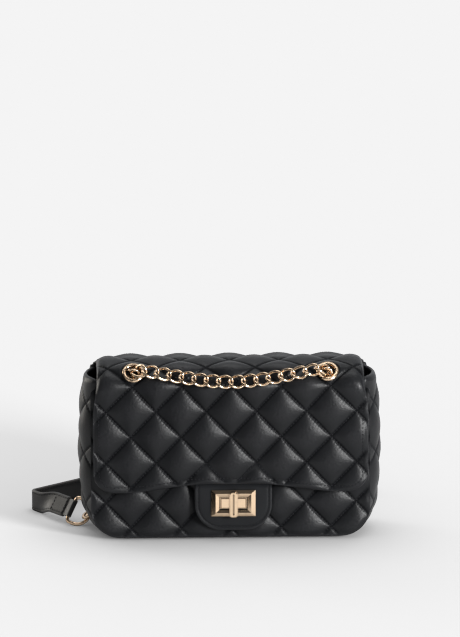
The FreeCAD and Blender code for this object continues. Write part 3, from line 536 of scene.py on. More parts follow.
def nearest(points, starts, steps):
    """Distance of each point from the nearest of some straight pieces."""
    length = np.maximum((steps * steps).sum(1), 1e-12)
    found = [np.zeros(0)]
    for chunk in np.array_split(points, len(points) // 2000 + 1):
        rel = chunk[:, None] - starts
        t = np.clip((rel * steps).sum(-1) / length, 0, 1)
        gap = rel - t[..., None] * steps
        found.append(np.sqrt((gap * gap).sum(-1).min(1)))
    return np.concatenate(found)


def edge_distance(points, loop):
    """Distance of each point from a closed loop, exact near the loop."""
    few = loop[::ROUGH_STEP]
    distance = nearest(points, few, np.roll(few, -1, 0) - few)
    close = distance < FAR_INSIDE
    distance[close] = nearest(points[close], loop, np.roll(loop, -1, 0) - loop)
    return distance


def inset(loop, distance):
    """The loop moved inwards, for a loop that runs anticlockwise."""
    along = unit(np.roll(loop, -1, 0) - np.roll(loop, 1, 0))
    return loop + np.stack([-along[:, 1], along[:, 0]], -1) * distance


EDGE_RINGS = (0.3, 0.8, 1.5, 2.4, 3.3, 4.1, 5.0)  # distances from the edge where a sheet has rings of points


class Sheet:
    """Faces over a loop: quads on the quilt's own grid inside, and triangles with finer rings along the edge.

    holes are round, as (centre, radius). gap is half the width and height of a rectangular hole at (0, 0)."""

    def __init__(self, loop, origin=(0.0, 0.0), cells=CELLS, rings=EDGE_RINGS, holes=(), gap=None):
        self.loop, self.origin, self.cells, self.rings = loop, origin, cells, rings
        self.holes, self.gap = holes, gap
        quads = self.fill_inside()
        tris, spots = self.fill_edge(quads)
        places = np.vstack([self.grid, spots])
        used = np.unique(np.concatenate([quads.ravel(), tris.ravel()]))
        number = np.full(len(places), -1)
        number[used] = np.arange(len(used))
        self.uv = places[used]
        self.quads = anticlockwise(self.uv, number[quads])
        self.tris = anticlockwise(self.uv, number[tris])
        self.depth = edge_distance(self.uv, loop)

    def clear(self, points, room):
        """Which points are further than room from the holes and the gap."""
        free = np.ones(len(points), bool)
        for centre, radius in self.holes:
            free &= np.linalg.norm(points - centre, axis=1) > radius + room * HOLE_ROOM
        if self.gap:
            free &= (np.abs(points) > np.array(self.gap) + room * GAP_ROOM).any(1)
        return free

    def fill_inside(self):
        """Lays the quilt's grid over the sheet. Returns its whole cells away from the edges, as quads."""
        margin = self.rings[-1] + 0.7
        low, high = self.loop.min(0), self.loop.max(0)
        span = (high[0] - low[0]) / QUILT_W + (high[1] - low[1]) / QUILT_H
        self.reach = int(span / 2 * self.cells) + 2
        self.start = [round(float(k) * self.cells) for k in quilt_lines(*(low + high) / 2, self.origin)]
        steps = np.arange(-self.reach, self.reach + 1)
        i, j = np.meshgrid(self.start[0] + steps, self.start[1] + steps, indexing="ij")
        place = quilt_place(i / self.cells, j / self.cells, self.origin)
        self.grid = np.stack(place, -1).reshape(-1, 2)
        good = ((self.grid > low + margin) & (self.grid < high - margin)).all(1)
        near = self.grid[good]
        fine = points_inside(near, self.loop) & (edge_distance(near, self.loop) > margin)
        good[good] = fine & self.clear(near, 1.0)
        size = len(steps)
        good = good.reshape(size, size)
        self.filled = good[:-1, :-1] & good[1:, :-1] & good[1:, 1:] & good[:-1, 1:]
        return grid_quads(size)[self.filled]

    def rims(self):
        """The closed lines that the faces end at."""
        yield self.loop
        for centre, radius in self.holes:
            turn = np.linspace(0, 2 * math.pi, 40, endpoint=False)
            yield np.array(centre) + radius * np.stack([np.cos(turn), np.sin(turn)], -1)
        if self.gap:
            w, h = self.gap
            yield resample(np.array([(-w, -h), (w, -h), (w, h), (-w, h)]), 1.0)

    def fill_edge(self, quads):
        """Triangles between the quads and the rims, and their new points, numbered after the grid's."""
        border_points, renamed = np.unique(open_edges([quads]), return_inverse=True)
        rims = list(self.rims())
        edges, first = [tuple(map(int, e)) for e in renamed.reshape(-1, 2)], len(border_points)
        for rim in rims:
            edges += [(first + k, first + (k + 1) % len(rim)) for k in range(len(rim))]
            first += len(rim)
        points = np.vstack([self.grid[border_points], *rims, *(inset(self.loop, d) for d in self.rings)])
        made = delaunay_2d_cdt([Vector(p) for p in points], edges, [], 0, 1e-5, True)
        spots, tris = np.array([tuple(p) for p in made[0]]), np.array(made[2], int)
        source = np.array([ids[0] if ids else -1 for ids in made[3]])
        middle = spots[tris].mean(1)
        lines = quilt_lines(*middle.T, self.origin)
        cell = tuple(
            np.clip(np.floor(line * self.cells - start + self.reach).astype(int), 0, 2 * self.reach - 1)
            for line, start in zip(lines, self.start)
        )
        tris = tris[~self.filled[cell] & points_inside(middle, self.loop) & self.clear(middle, 0.0)]
        joined = len(self.grid) + np.arange(len(source))
        shared = (source >= 0) & (source < len(border_points))
        joined[shared] = border_points[source[shared]]
        return joined[tris], spots

    def rim_edges(self):
        return open_edges([self.quads, self.tris])


def anticlockwise(places, faces):
    a, b, c = (places[faces[:, k]] for k in range(3))
    turned = (b - a)[:, 0] * (c - a)[:, 1] - (b - a)[:, 1] * (c - a)[:, 0] < 0
    faces = faces.copy()
    faces[turned] = faces[turned][:, ::-1]
    return faces


def open_edges(blocks):
    """Edges that only one face has, in the direction that face runs."""
    edges = np.vstack([np.stack([f, np.roll(f, -1, 1)], -1).reshape(-1, 2) for f in blocks if len(f)])
    size = edges.max() + 1
    forward, backward = edges[:, 0] * size + edges[:, 1], edges[:, 1] * size + edges[:, 0]
    return edges[~np.isin(forward, backward)]


def normals_of(surface, u, v):
    """Unit normals of a surface, on the side where u to the right and v up are seen the right way round."""
    step = 0.05
    across = surface(u + step, v) - surface(u - step, v)
    along = surface(u, v + step) - surface(u, v - step)
    return unit(np.cross(across, along))


def roundness(depth, radius):
    """0 at an edge and 1 from radius inwards, on a quarter circle."""
    return np.sqrt(1 - (1 - np.clip(depth / radius, 0.004, 1)) ** 2)


def edge_offsets(sheet, thickness, radius, top, base=0.0):
    """Offsets of a padded sheet's two sides from its surface. top is the outer side's, away from the edge."""
    share = roundness(sheet.depth, radius)
    middle = base - thickness / 2
    return middle + (top - middle) * share, middle - thickness / 2 * share


# ---------------------------------------------------------------- making objects
def mesh_object(name, points, faces, material, flat=None, wear_and_shade=None):
    mesh = bpy.data.meshes.new(name)
    mesh.from_pydata((np.asarray(points) * MM).tolist(), [], faces)
    # the point value holds wear above 0 and painted shade below 0
    attributes = ("flat", "FLOAT_VECTOR", "vector", flat), ("wear_and_shade", "FLOAT", "value", wear_and_shade)
    for title, kind, key, values in attributes:
        if values is not None:
            made = mesh.attributes.new(title, kind, "POINT").data
            made.foreach_set(key, np.asarray(values, np.float32).ravel())
    mesh.polygons.foreach_set("use_smooth", np.ones(len(mesh.polygons), bool))
    mesh.materials.append(material)
    mesh.update()
    thing = bpy.data.objects.new(name, mesh)
    bpy.context.scene.collection.objects.link(thing)
    return thing


def tube_faces(rings, count):
    """Quads between closed rings of count points each, and then a face over each end."""
    faces = []
    for k in range(rings - 1):
        for i in range(count):
            a, b = k * count + i, k * count + (i + 1) % count
            faces.append([a, b, b + count, a + count])
    faces.append(list(range(count))[::-1])
    faces.append(list(range((rings - 1) * count, rings * count)))
    return faces


CREST_WEAR, EDGE_WEAR, EDGE_WEAR_REACH = 0.35, 0.9, 1.6  # how worn crests and edges are, and how far in


def padded_mesh(sheet, surface, outer, inner, press=None, origin=None):
    """Points, faces, sheet coordinates, and wear and painted shade of a closed padded sheet."""
    u, v = sheet.uv.T
    base, normal = surface(u, v), normals_of(surface, u, v)
    top, bottom = base + normal * outer[:, None], base + normal * inner[:, None]
    if press:
        top = press(top)
    count = len(u)
    points = np.vstack([top, bottom])
    rim = sheet.rim_edges()
    walls = np.stack([rim[:, 1], rim[:, 0], rim[:, 0] + count, rim[:, 1] + count], -1)
    faces = []
    for block in (sheet.quads, sheet.tris):
        faces += block.tolist() + (block[:, ::-1] + count).tolist()
    faces += walls.tolist()
    flat = np.stack([u, v, np.zeros(count)], -1) * MM
    crest = np.clip((outer - np.percentile(outer, 55)) / 1.5, 0, 1) * CREST_WEAR
    edge = np.clip(1 - sheet.depth / EDGE_WEAR_REACH, 0, 1) * EDGE_WEAR
    wear_and_shade = np.maximum(crest, edge)
    # painted shade: less gloss in the groove along each line of stitches, held as values below 0
    if origin is not None:
        wear_and_shade = wear_and_shade - groove_shade(u, v, origin) * smooth(sheet.depth / 3)
    return points, faces, np.vstack([flat, flat]), np.tile(wear_and_shade, 2)


def padded(name, sheet, surface, outer, inner, material, press=None, origin=None, painted_shadow=None):
    points, faces, flat, wear_and_shade = padded_mesh(sheet, surface, outer, inner, press, origin)
    # a painted shadow, where given, takes the place of the wear, as values below 0
    if painted_shadow is not None:
        wear_and_shade = np.where(np.tile(painted_shadow, 2) > 0, -np.tile(painted_shadow, 2), wear_and_shade)
    return mesh_object(name, points, faces, material, flat, wear_and_shade)


def soft(thing, slot, body, *nodes):
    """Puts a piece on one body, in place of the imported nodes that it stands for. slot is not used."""
    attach(thing, body)
    if nodes:
        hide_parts(*nodes)


STITCH_R = 0.34
STITCH_BOW = 3.2  # how deep a thread's ends go into the leather, as a share of its radius
STITCH_SHARE = 0.74  # thread seen, as a share of the spacing
STITCH_PROUD = 0.4  # how far a thread's middle line stands out of the leather, as a share of its radius
STITCH_EDGE = 2.2  # stitches stop at this distance from a sheet's edge


def capsules(name, centre, along, up, length):
    """One small bowed thread per row of centre, all in one mesh."""
    stations = np.array([(-0.5, 0.0), (-0.42, 0.75), (-0.15, 1.0), (0.15, 1.0), (0.42, 0.75), (0.5, 0.0)])
    sides = 6
    along = unit(along)
    up = unit(up - (up * along).sum(1)[:, None] * along)
    side = np.cross(along, up)
    rings = []
    for reach, girth in stations:
        sink = -STITCH_R * STITCH_BOW * reach * reach
        for k in range(sides):
            turn = 2 * math.pi * k / sides
            spot = along * (reach * length) + up * (sink + STITCH_R * girth * math.sin(turn))
            rings.append(centre + spot + side * (STITCH_R * girth * math.cos(turn)))
    points = np.stack(rings, 1)
    *quads, first, last = tube_faces(len(stations), sides)
    shift = (np.arange(len(centre)) * points.shape[1])[:, None, None]
    faces = (np.array(quads)[None] + shift).reshape(-1, 4).tolist()
    for end in (first, last):
        faces += (np.array(end)[None] + shift[:, 0]).tolist()
    return mesh_object(name, points.reshape(-1, 3), faces, THREAD)


def quilt_stitches(name, sheet, origin, surface, height, keep, press=None):
    """Thread along every stitch line of a quilted sheet. height gives the outer side's offset."""
    low, high = sheet.loop.min(0), sheet.loop.max(0)
    per = CELLS // STITCH_CELLS
    reach = int((high[0] - low[0]) / QUILT_W + (high[1] - low[1]) / QUILT_H + 3)
    middle = (low + high) / 2
    lines = np.arange(-reach, reach + 1)
    steps = (np.arange(-reach * per, reach * per) + 0.5) / per
    centres, headings = [], []
    for first in (True, False):
        a, b = np.meshgrid(lines, steps, indexing="ij")
        p, q = (a, b) if first else (b, a)
        p0, q0 = (round(float(k)) for k in quilt_lines(*middle, origin))
        u, v = quilt_place(p + p0, q + q0, origin)
        centres.append(np.stack([u.ravel(), v.ravel()], -1))
        way = np.array([QUILT_W, -QUILT_H if first else QUILT_H]) / 2 / per
        headings.append(np.tile(way, (u.size, 1)))
    centre, heading = np.vstack(centres), np.vstack(headings)
    inside = ((centre > low) & (centre < high)).all(1)
    centre, heading = centre[inside], heading[inside]
    depth = edge_distance(centre, sheet.loop)
    good = (depth > STITCH_EDGE) & points_inside(centre, sheet.loop) & keep(centre)
    centre, heading, depth = centre[good], heading[good], depth[good]
    return laid_stitches(name, centre, heading, depth, surface, height, press)


def laid_stitches(name, centre, heading, depth, surface, height, press=None):
    """Threads at sheet places centre, each heading long, half sunk in the sheet's outer side."""
    ends = [surface(*(centre + heading * s).T) for s in (-0.5, 0.5)]
    normal = normals_of(surface, *centre.T)
    along = ends[1] - ends[0]
    spot = surface(*centre.T) + normal * (height(*centre.T, depth) + STITCH_R * STITCH_PROUD)[:, None]
    if press:
        spot = press(spot)
    length = np.linalg.norm(heading, axis=1)[0] * STITCH_SHARE
    return capsules(name, spot, along, normal, length)


def points_inside(points, loop):
    """Which points lie inside a closed loop."""
    a, b = loop, np.roll(loop, -1, 0)
    u, v = points[:, :1], points[:, 1:]
    crosses = (a[:, 1] > v) != (b[:, 1] > v)
    slope = (b[:, 0] - a[:, 0]) / np.where(b[:, 1] == a[:, 1], 1e-9, b[:, 1] - a[:, 1])
    return (crosses & (u < a[:, 0] + (v - a[:, 1]) * slope)).sum(1) % 2 == 1


HEM_SPACING = 2.9


def edge_stitches(name, loop, distance, surface, height, last_v):
    """Thread parallel to a sheet's edge, below last_v."""
    line = resample(inset(loop, distance), HEM_SPACING)
    heading = (np.roll(line, -1, 0) - np.roll(line, 1, 0)) / 2
    chosen = line[:, 1] < last_v
    line, heading = line[chosen], heading[chosen]
    depth = np.full(len(line), distance)
    return laid_stitches(name, line, heading, depth, surface, height)


# ---------------------------------------------------------------- surfaces
TOP_LEAD, TOP_FADE = 22.0, 34.0  # the skin starts to drop at its sides this far below the fold
SIDE_DROP, SIDE_DROP_REACH, SIDE_STEEP = 5.0, 15.0, 0.96
SIDE_DRAW = 0.016
SIDE_BACK = 0.35  # how far the sides go back, as a share of their drop


def skin_line(v):
    """(y, z) and outward (y, z) of the flap and back, seen from the side, at each distance v along them."""
    angle = LEAN + (v - V_FOLD) / SHOULDER_R
    down = v - V_FOLD
    rear = (v - V_REAR) / REAR_R
    fall = v - V_BACK
    places = [v < V_FOLD, v < V_CREST, v < V_REAR, v < V_BACK]
    y = [
        FOLD[1] + UP[1] * down,
        SHOULDER[1] - SHOULDER_R * np.cos(angle),
        SHOULDER[1] + v - V_CREST,
        HINGE[1] + REAR_R * np.sin(rear),
    ]
    z = [
        FOLD[2] + UP[2] * down,
        SHOULDER[2] + SHOULDER_R * np.sin(angle),
        CREST_Z - REAR_SAG * smooth((v - V_REAR + 15) / 15),
        BACK_TURN_Z + (REAR_R - REAR_SAG) * np.cos(rear),
    ]
    z_back = BACK_TURN_Z - fall
    return np.select(places, y, HINGE[1] + REAR_R - BACK_LEAN * fall), np.select(places, z, z_back)


def skin_surface(u, v):
    """The skin drops and draws in towards its sides where it goes over the top."""
    y, z = skin_line(v)
    over = smooth((v - V_FOLD + TOP_LEAD) / TOP_FADE) * smooth((V_BACK + 6 - v) / 16)
    t = np.clip((np.abs(u) - FLAP_HALF + SIDE_DROP_REACH) / SIDE_DROP_REACH, 0, 1)
    drop = SIDE_DROP * (1 - np.sqrt(1 - SIDE_STEEP * t * t)) * over
    return np.stack([u * (1 - SIDE_DRAW * over), y + SIDE_BACK * drop * (v < V_CREST), z - drop], -1)


def front_surface(u, v):
    return np.stack([u, front_y(v), v], -1)


POCKET_GAP = 2.25  # from the back panel's inner side to the pocket's outer side


def pocket_surface(u, v):
    return np.stack([u, back_y(v) - QUILT_T - POCKET_GAP, v], -1)


TAB_DEPTH, TAB_THICK = 4.65, 2.7  # the tab's face in front of the spindle's origin, and its thickness


def tab_surface(u, v):
    """Face of the lock tab. v is measured from the lock's spindle."""
    plane = LOCK + OUT * TAB_DEPTH
    return plane + np.stack([u, np.zeros_like(u), np.zeros_like(u)], -1) + UP * v[:, None]


GUSSET_EDGE, GUSSET_EDGE_BASE = -4.5, -2.2  # the strip's edges against the panels' outline
GUSSET_SEAM = 0.15  # between the strip's edges and the panels
GUSSET_FULL_Z = 78.0  # the strip bulges most at this height
GUSSET_BULGE, GUSSET_BULGE_TOP, GUSSET_BULGE_LOW, GUSSET_BULGE_BASE = 9.5, 5.0, 6.9, 2.9
SIDE_LENGTH = GUSSET_TOP_Z - BASE_Z - CORNER_R
CORNER_LENGTH = CORNER_R * math.pi / 2
BASE_LENGTH = 2 * (PANEL_HALF - CORNER_R)
GUSSET_LENGTH = 2 * (SIDE_LENGTH + CORNER_LENGTH) + BASE_LENGTH


def gusset_frame(s):
    """Outline point (x, z), outward normal (x, z), bulge and edge at distance s from the left top end."""
    from_end = np.minimum(s, GUSSET_LENGTH - s)
    side = np.where(s < GUSSET_LENGTH / 2, -1.0, 1.0)
    turn = np.clip((from_end - SIDE_LENGTH) / CORNER_R, 0, math.pi / 2)
    along_base = np.maximum(0, from_end - SIDE_LENGTH - CORNER_LENGTH)
    low = BASE_Z + CORNER_R
    x = side * (PANEL_HALF - CORNER_R + CORNER_R * np.cos(turn) - along_base)
    z = np.where(from_end < SIDE_LENGTH, GUSSET_TOP_Z - from_end, low - CORNER_R * np.sin(turn))
    steep = np.sin(turn)
    above, below = GUSSET_TOP_Z - GUSSET_FULL_Z, GUSSET_FULL_Z - low
    rise = np.where(z > GUSSET_FULL_Z, (z - GUSSET_FULL_Z) / above, (GUSSET_FULL_Z - z) / below)
    end = np.where(z > GUSSET_FULL_Z, GUSSET_BULGE_TOP, GUSSET_BULGE_LOW)
    bulge = GUSSET_BULGE + (end - GUSSET_BULGE) * np.clip(rise, 0, 1) ** 2
    bulge = np.where(steep > 0, GUSSET_BULGE_LOW + (GUSSET_BULGE_BASE - GUSSET_BULGE_LOW) * steep, bulge)
    edge = GUSSET_EDGE + (GUSSET_EDGE_BASE - GUSSET_EDGE) * steep * steep
    return x, z, side * np.cos(turn), -np.sin(turn), bulge, edge


def gusset_sides(s):
    """y of the strip's front and rear edges."""
    _, z, _, nz, _, edge = gusset_frame(s)
    low = z + nz * edge
    return front_y(low) + QUILT_T + GUSSET_SEAM, back_y(low) - QUILT_T - GUSSET_SEAM


def gusset_surface(u, v):
    x, z, nx, nz, bulge, edge = gusset_frame(v)
    near, far = gusset_sides(v)
    t = (u - near) / (far - near)
    out = edge + (bulge - edge) * (1 - (2 * t - 1) ** 2)
    return np.stack([x + nx * out, u, z + nz * out], -1)


# ---------------------------------------------------------------- eyelets press the skin in
EYELET_AXIS = np.array([0.0, -math.cos(EYELET_RISE), math.sin(EYELET_RISE)])
BACK_EYELETS = np.array([0.0, 0.0, BACK_EYELET_Z])
BACK_AXIS = np.array([0.0, 1.0, 0.0])
EYELET_V = V_FOLD + SHOULDER_R * (EYELET_RISE - LEAN)
BACK_EYELET_V = V_BACK + BACK_TURN_Z - BACK_EYELET_Z
FLANGE_R = 9.2  # the skin is flat up to here, and rises again outside it
PRESS_RISE, PRESS_FADE, PRESS_REACH = 3.5, 4.5, 14
EYELET_CLEAR_R = 12.5  # no quilting stitches nearer than this


def press_eyelets(points):
    """Lowers the points under and round the eyelets' flanges."""
    points = points.copy()
    seats = (SHOULDER, EYELET_AXIS, EYELET_SEAT), (BACK_EYELETS, BACK_AXIS, BACK_SEAT_Y)
    for centre, axis, seat in seats:
        for side in (-1, 1):
            middle = np.array([side * EYELET_X, centre[1], centre[2]])
            rel = points - middle
            high = rel @ axis
            radius = np.linalg.norm(rel - high[:, None] * axis, axis=1)
            limit = seat + PRESS_RISE * smooth((radius - FLANGE_R) / PRESS_FADE)
            near = (high > 0) & (radius < PRESS_REACH)
            drop = np.where(near, np.maximum(0, high - limit), 0)
            points -= drop[:, None] * axis
    return points


def eyelet_holes():
    return [((side * EYELET_X, v), EYELET_HOLE_R) for side in (-1, 1) for v in (EYELET_V, BACK_EYELET_V)]


# ---------------------------------------------------------------- quilted pieces
EDGE_R = 3.0
V_LOW_EDGE = -31.0  # below this the flap is fuller at its edge
FLAP_PAD_T = FLAP_T - 1.9  # thickness of the skin and its padding
FLAP_HEM, HEM_REACH, HEM_DEPTH = 4.6, 0.9, 0.22  # the sewn groove along the flap's edge
TAB_COVER, TAB_COVER_V = 36.0, -18.0  # half width and upper end of the place where the tab is behind the skin
SINK_OVER_TAB, SINK = 2.4, 6.0  # how far the skin may sink in, there and elsewhere


def quilt_height(u, v, depth, origin, proud=PROUD, puff=PUFF, edge=0.9):
    """Offset of a quilted face: thin at its edges, where the diamonds run out."""
    fade = smooth((depth + 1.5) / 6.5)
    share = puff / PUFF
    full = puff * quilted(u, v, origin) + share * gathers(u, v, origin)
    return proud - puff + full * fade + edge * share * (1 - fade)


def skin_height(u, v, depth):
    """Offset of the skin's face. The lock tab, sewn in behind it, keeps it from sinking far."""
    edge = 0.9 + 2.1 * smooth((V_LOW_EDGE - v) / 8)
    height = quilt_height(u, v, depth, SKIN_ORIGIN, edge=edge)
    over_tab = smooth((TAB_COVER - np.abs(u - LOCK[0])) / 6) * smooth((TAB_COVER_V - v) / 8) * (v < 0)
    hem = HEM_DEPTH * bell((depth - FLAP_HEM) / HEM_REACH) * (v < V_SPLIT)
    return np.maximum(height, -SINK_OVER_TAB * over_tab - SINK * (1 - over_tab)) - hem


def flap_edge(share):
    """Rise of the flap's lower edge, 0 near its corners to 1 across the middle."""
    return 1 - smooth((np.abs(share) - 0.22) / 0.72)


def skin_loop(trim=0.0, last_v=None):
    """Outline of the skin, or of its front part down to last_v behind, made smaller all round by trim."""
    v_low = (FLAP_SIDE_Z - QUILT_ROW_Z) / math.cos(LEAN) + trim
    half, reach = FLAP_HALF - trim, FLAP_HALF - FLAP_CORNER_R
    corners = [(-half, v_low, FLAP_CORNER_R - trim)]
    for share in np.linspace(-1, 1, 41):
        corners.append((share * reach, v_low + FLAP_MID_RISE * float(flap_edge(share)), 0))
    corners.append((half, v_low, FLAP_CORNER_R - trim))
    if last_v is not None:
        return rounded_loop(corners + [(half, last_v, 5), (-half, last_v, 5)])
    v_end = V_BACK + BACK_TURN_Z - BASE_Z
    wide = PANEL_HALF
    right = [(half, V_REAR, 0), (wide, V_BACK + 6, 0), (wide, v_end, CORNER_R)]
    return rounded_loop(corners + right + [(-u, v, r) for u, v, r in reversed(right)])


# for the skin's two halves: the bodies that each bends between, and where the bend starts and ends
HALVES = {
    "rear": (
        ("bag_body", "flap_top"),
        Vector((0, BACK_Y - 1.0, HINGE[2] - 6)) * MM,
        Vector((0, HINGE[1] - 6, CREST_Z)) * MM,
    ),
    "front": (
        ("flap_top", "flap_front"),
        Vector((0, FOLD[1], FOLD[2] + 7)) * MM,
        Vector((0, FOLD[1], FOLD[2] - 10)) * MM,
    ),
}


def bending(thing):
    """Bakes a piece's placement into its mesh."""
    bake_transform(thing)


def in_half(v, half):
    return (v > V_SPLIT) == (half == "rear")


def divide(name, made, v_of_point, material, nodes):
    """Makes one mesh's rear and front pieces, split where the flap's top is stiff, with one shading."""
    points, faces, flat, wear_and_shade = made
    whole = mesh_object(name, points, faces, material, flat, wear_and_shade)
    normals = np.zeros(len(points) * 3, np.float32)
    whole.data.vertices.foreach_get("normal", normals)
    normals = normals.reshape(-1, 3)
    bpy.data.objects.remove(whole)
    blocks = [np.array([f for f in faces if len(f) == size]) for size in (3, 4)]
    for half in HALVES:
        chosen = []
        for block in blocks:
            chosen += block[in_half(v_of_point[block].mean(1), half)].tolist()
        used = np.unique(np.concatenate([np.array(f) for f in chosen]))
        number = np.full(len(points), -1)
        number[used] = np.arange(len(used))
        renamed = [[int(number[k]) for k in f] for f in chosen]
        piece = mesh_object(name + "_" + half, points[used], renamed, material, flat[used], wear_and_shade[used])
        piece.data.normals_split_custom_set_from_vertices(normals[used].tolist())
        bending(piece)
        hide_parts(*nodes[half])


def away_from_eyelets(centre):
    far = np.ones(len(centre), bool)
    for spot, _ in eyelet_holes():
        far &= np.linalg.norm(centre - np.array(spot), axis=1) > EYELET_CLEAR_R
    return far


def skin():
    """Face of the flap and back, one quilted piece from the front's lower edge over the top to the base."""
    sheet = Sheet(skin_loop(), holes=eyelet_holes())
    u, v = sheet.uv.T
    outer, inner = edge_offsets(sheet, FLAP_PAD_T, EDGE_R, skin_height(u, v, sheet.depth))
    made = padded_mesh(sheet, skin_surface, outer, inner, press_eyelets, SKIN_ORIGIN)
    nodes = {"rear": ["back_panel", "flap_top_panel"], "front": ["flap_front_panel"]}
    divide("flap_skin", made, np.tile(v, 2), QUILTED, nodes)
    for half in HALVES:
        keep = lambda c, half=half: in_half(c[:, 1], half) & away_from_eyelets(c)
        name = "flap_stitches_" + half
        sewn = quilt_stitches(name, sheet, SKIN_ORIGIN, skin_surface, skin_height, keep, press_eyelets)
        bending(sewn)
    hem = edge_stitches("flap_hem_stitches", sheet.loop, FLAP_HEM, skin_surface, skin_height, V_FOLD - 12)
    soft(hem, "quilted_leather", "flap_front")


def flap_lining():
    """Thin cloth under the flap, from just inside its lower edge round to behind the hinge."""
    last = V_REAR + 14
    holes = [hole for hole in eyelet_holes() if hole[0][1] < V_REAR]
    sheet = Sheet(skin_loop(2.2, last), cells=8, rings=(0.4, 1.2, 2.4, 4.0), holes=holes)
    u, v = sheet.uv.T
    wrinkle = 0.12 * np.sin(u / 7.0 + 1.3 * np.sin(v / 11.0)) * np.sin(v / 9.0 + 0.7)
    base = -(FLAP_T - FLAP_LINING_T)
    outer, inner = edge_offsets(sheet, FLAP_LINING_T, 0.6, base + wrinkle - 0.1, base)
    made = padded_mesh(sheet, skin_surface, outer, inner)
    nodes = {"rear": ["flap_top_lining"], "front": ["flap_front_lining"]}
    divide("flap_lining", made, np.tile(v, 2), LINING, nodes)


LOCK_PLATE_HALF, LOCK_PLATE_LOW, LOCK_PLATE_HIGH = 30, 14, 60  # no stitches on the front behind the tab


def front_panel():
    corners = [(-PANEL_HALF, BASE_Z, CORNER_R), (PANEL_HALF, BASE_Z, CORNER_R)]
    corners += [(PANEL_HALF, FRONT_TOP_Z, 6), (-PANEL_HALF, FRONT_TOP_Z, 6)]
    sheet = Sheet(rounded_loop(corners), FRONT_ORIGIN)
    height = lambda u, v, depth: quilt_height(u, v, depth, FRONT_ORIGIN, 0.0)
    u, v = sheet.uv.T
    outer, inner = edge_offsets(sheet, QUILT_T, EDGE_R, height(u, v, sheet.depth))
    panel = padded("front_quilt", sheet, front_surface, outer, inner, QUILTED, None, FRONT_ORIGIN)
    soft(panel, "quilted_leather", "bag_body", "front_panel")
    beside = lambda u: np.abs(u - LOCK[0]) >= LOCK_PLATE_HALF
    keep = lambda c: beside(c[:, 0]) | (c[:, 1] >= LOCK_PLATE_HIGH) | (c[:, 1] <= LOCK_PLATE_LOW)
    sewn = quilt_stitches("front_quilt_stitches", sheet, FRONT_ORIGIN, front_surface, height, keep)
    soft(sewn, "quilted_leather", "bag_body")


GUSSET_T, GUSSET_PUFF, GUSSET_PROUD, GUSSET_EDGE_R = 3.6, 2.1, 1.1, 1.8
UNDERSIDE = -0.9  # where the outward normal points down more than this, the strip is the purse's base
FLOOR_GAP = 0.05


def off_floor(points):
    return np.stack([points[:, 0], points[:, 1], np.maximum(points[:, 2], FLOOR_GAP)], -1)


def gusset():
    steps = np.linspace(0, GUSSET_LENGTH, 160)
    near, far = gusset_sides(steps)
    # anticlockwise: down the left end, along the rear edge, up the right end, back along the front edge
    corners = [(near[0], steps[0], 4.0), (far[0], steps[0], 4.0)]
    corners += [(y, s, 0) for y, s in zip(far[4:-4], steps[4:-4])]
    corners += [(far[-1], steps[-1], 4.0), (near[-1], steps[-1], 4.0)]
    corners += [(y, s, 0) for y, s in zip(near[-5:3:-1], steps[-5:3:-1])]
    sheet = Sheet(rounded_loop(corners), GUSSET_ORIGIN)
    height = lambda u, v, depth: quilt_height(u, v, depth, GUSSET_ORIGIN, GUSSET_PROUD, GUSSET_PUFF)
    u, v = sheet.uv.T
    outer, inner = edge_offsets(sheet, GUSSET_T, GUSSET_EDGE_R, height(u, v, sheet.depth))
    under = gusset_frame(v)[3] < UNDERSIDE
    outer = np.where(under, np.minimum(outer, 0.0), outer)
    strip = padded("gusset_quilt", sheet, gusset_surface, outer, inner, QUILTED, off_floor, GUSSET_ORIGIN)
    soft(strip, "quilted_leather", "bag_body", "gusset")
    keep = lambda c: gusset_frame(c[:, 1])[3] > UNDERSIDE
    sewn = quilt_stitches("gusset_stitches", sheet, GUSSET_ORIGIN, gusset_surface, height, keep, off_floor)
    soft(sewn, "quilted_leather", "bag_body")


# ---------------------------------------------------------------- smooth pieces
TAB_HALF, TAB_LOW, TAB_HIGH, TAB_R = 32.0, -23.0, 29.0, 22.0
LOCK_OPEN_W, LOCK_OPEN_H = 23.6, 11.0
TAB_HEM = 2.9
TAB_STITCH_HIGH = 26
TAB_EDGE_V = (FLAP_SIDE_Z + FLAP_MID_RISE - LOCK[2]) / math.cos(LEAN)


def tab_height(u, v, depth):
    """Face of the tab: a sewn groove round its edge and a slight pillow inside it."""
    groove = 0.42 * bell((depth - TAB_HEM) / 0.75)
    return 0.12 * smooth(depth / 8) - groove


def lock_tab():
    corners = [(-TAB_HALF, TAB_LOW, TAB_R), (TAB_HALF, TAB_LOW, TAB_R)]
    corners += [(TAB_HALF, TAB_HIGH, 5), (-TAB_HALF, TAB_HIGH, 5)]
    rings = (0.2, 0.5, 0.9, 1.4, 2.0, 2.4, 2.9, 3.4, 3.9, 4.8)
    gap = (LOCK_OPEN_W / 2, LOCK_OPEN_H / 2)
    sheet = Sheet(rounded_loop(corners, 1.0), cells=26, rings=rings, gap=gap)
    u, v = sheet.uv.T
    outer, inner = edge_offsets(sheet, TAB_THICK, 1.35, tab_height(u, v, sheet.depth))
    shadow_under_flap = smooth((v - TAB_EDGE_V + 4.4) / 2.2)  # painted shadow: less gloss where the tab comes out from under the flap
    tab = padded("lock_tab", sheet, tab_surface, outer, inner, SMOOTH, painted_shadow=shadow_under_flap)
    soft(tab, "smooth_leather", "flap_front", "lock_tab_face", "lock_tab_back")
    sewn = edge_stitches("lock_tab_stitches", sheet.loop, TAB_HEM, tab_surface, tab_height, TAB_STITCH_HIGH)
    soft(sewn, "smooth_leather", "flap_front")


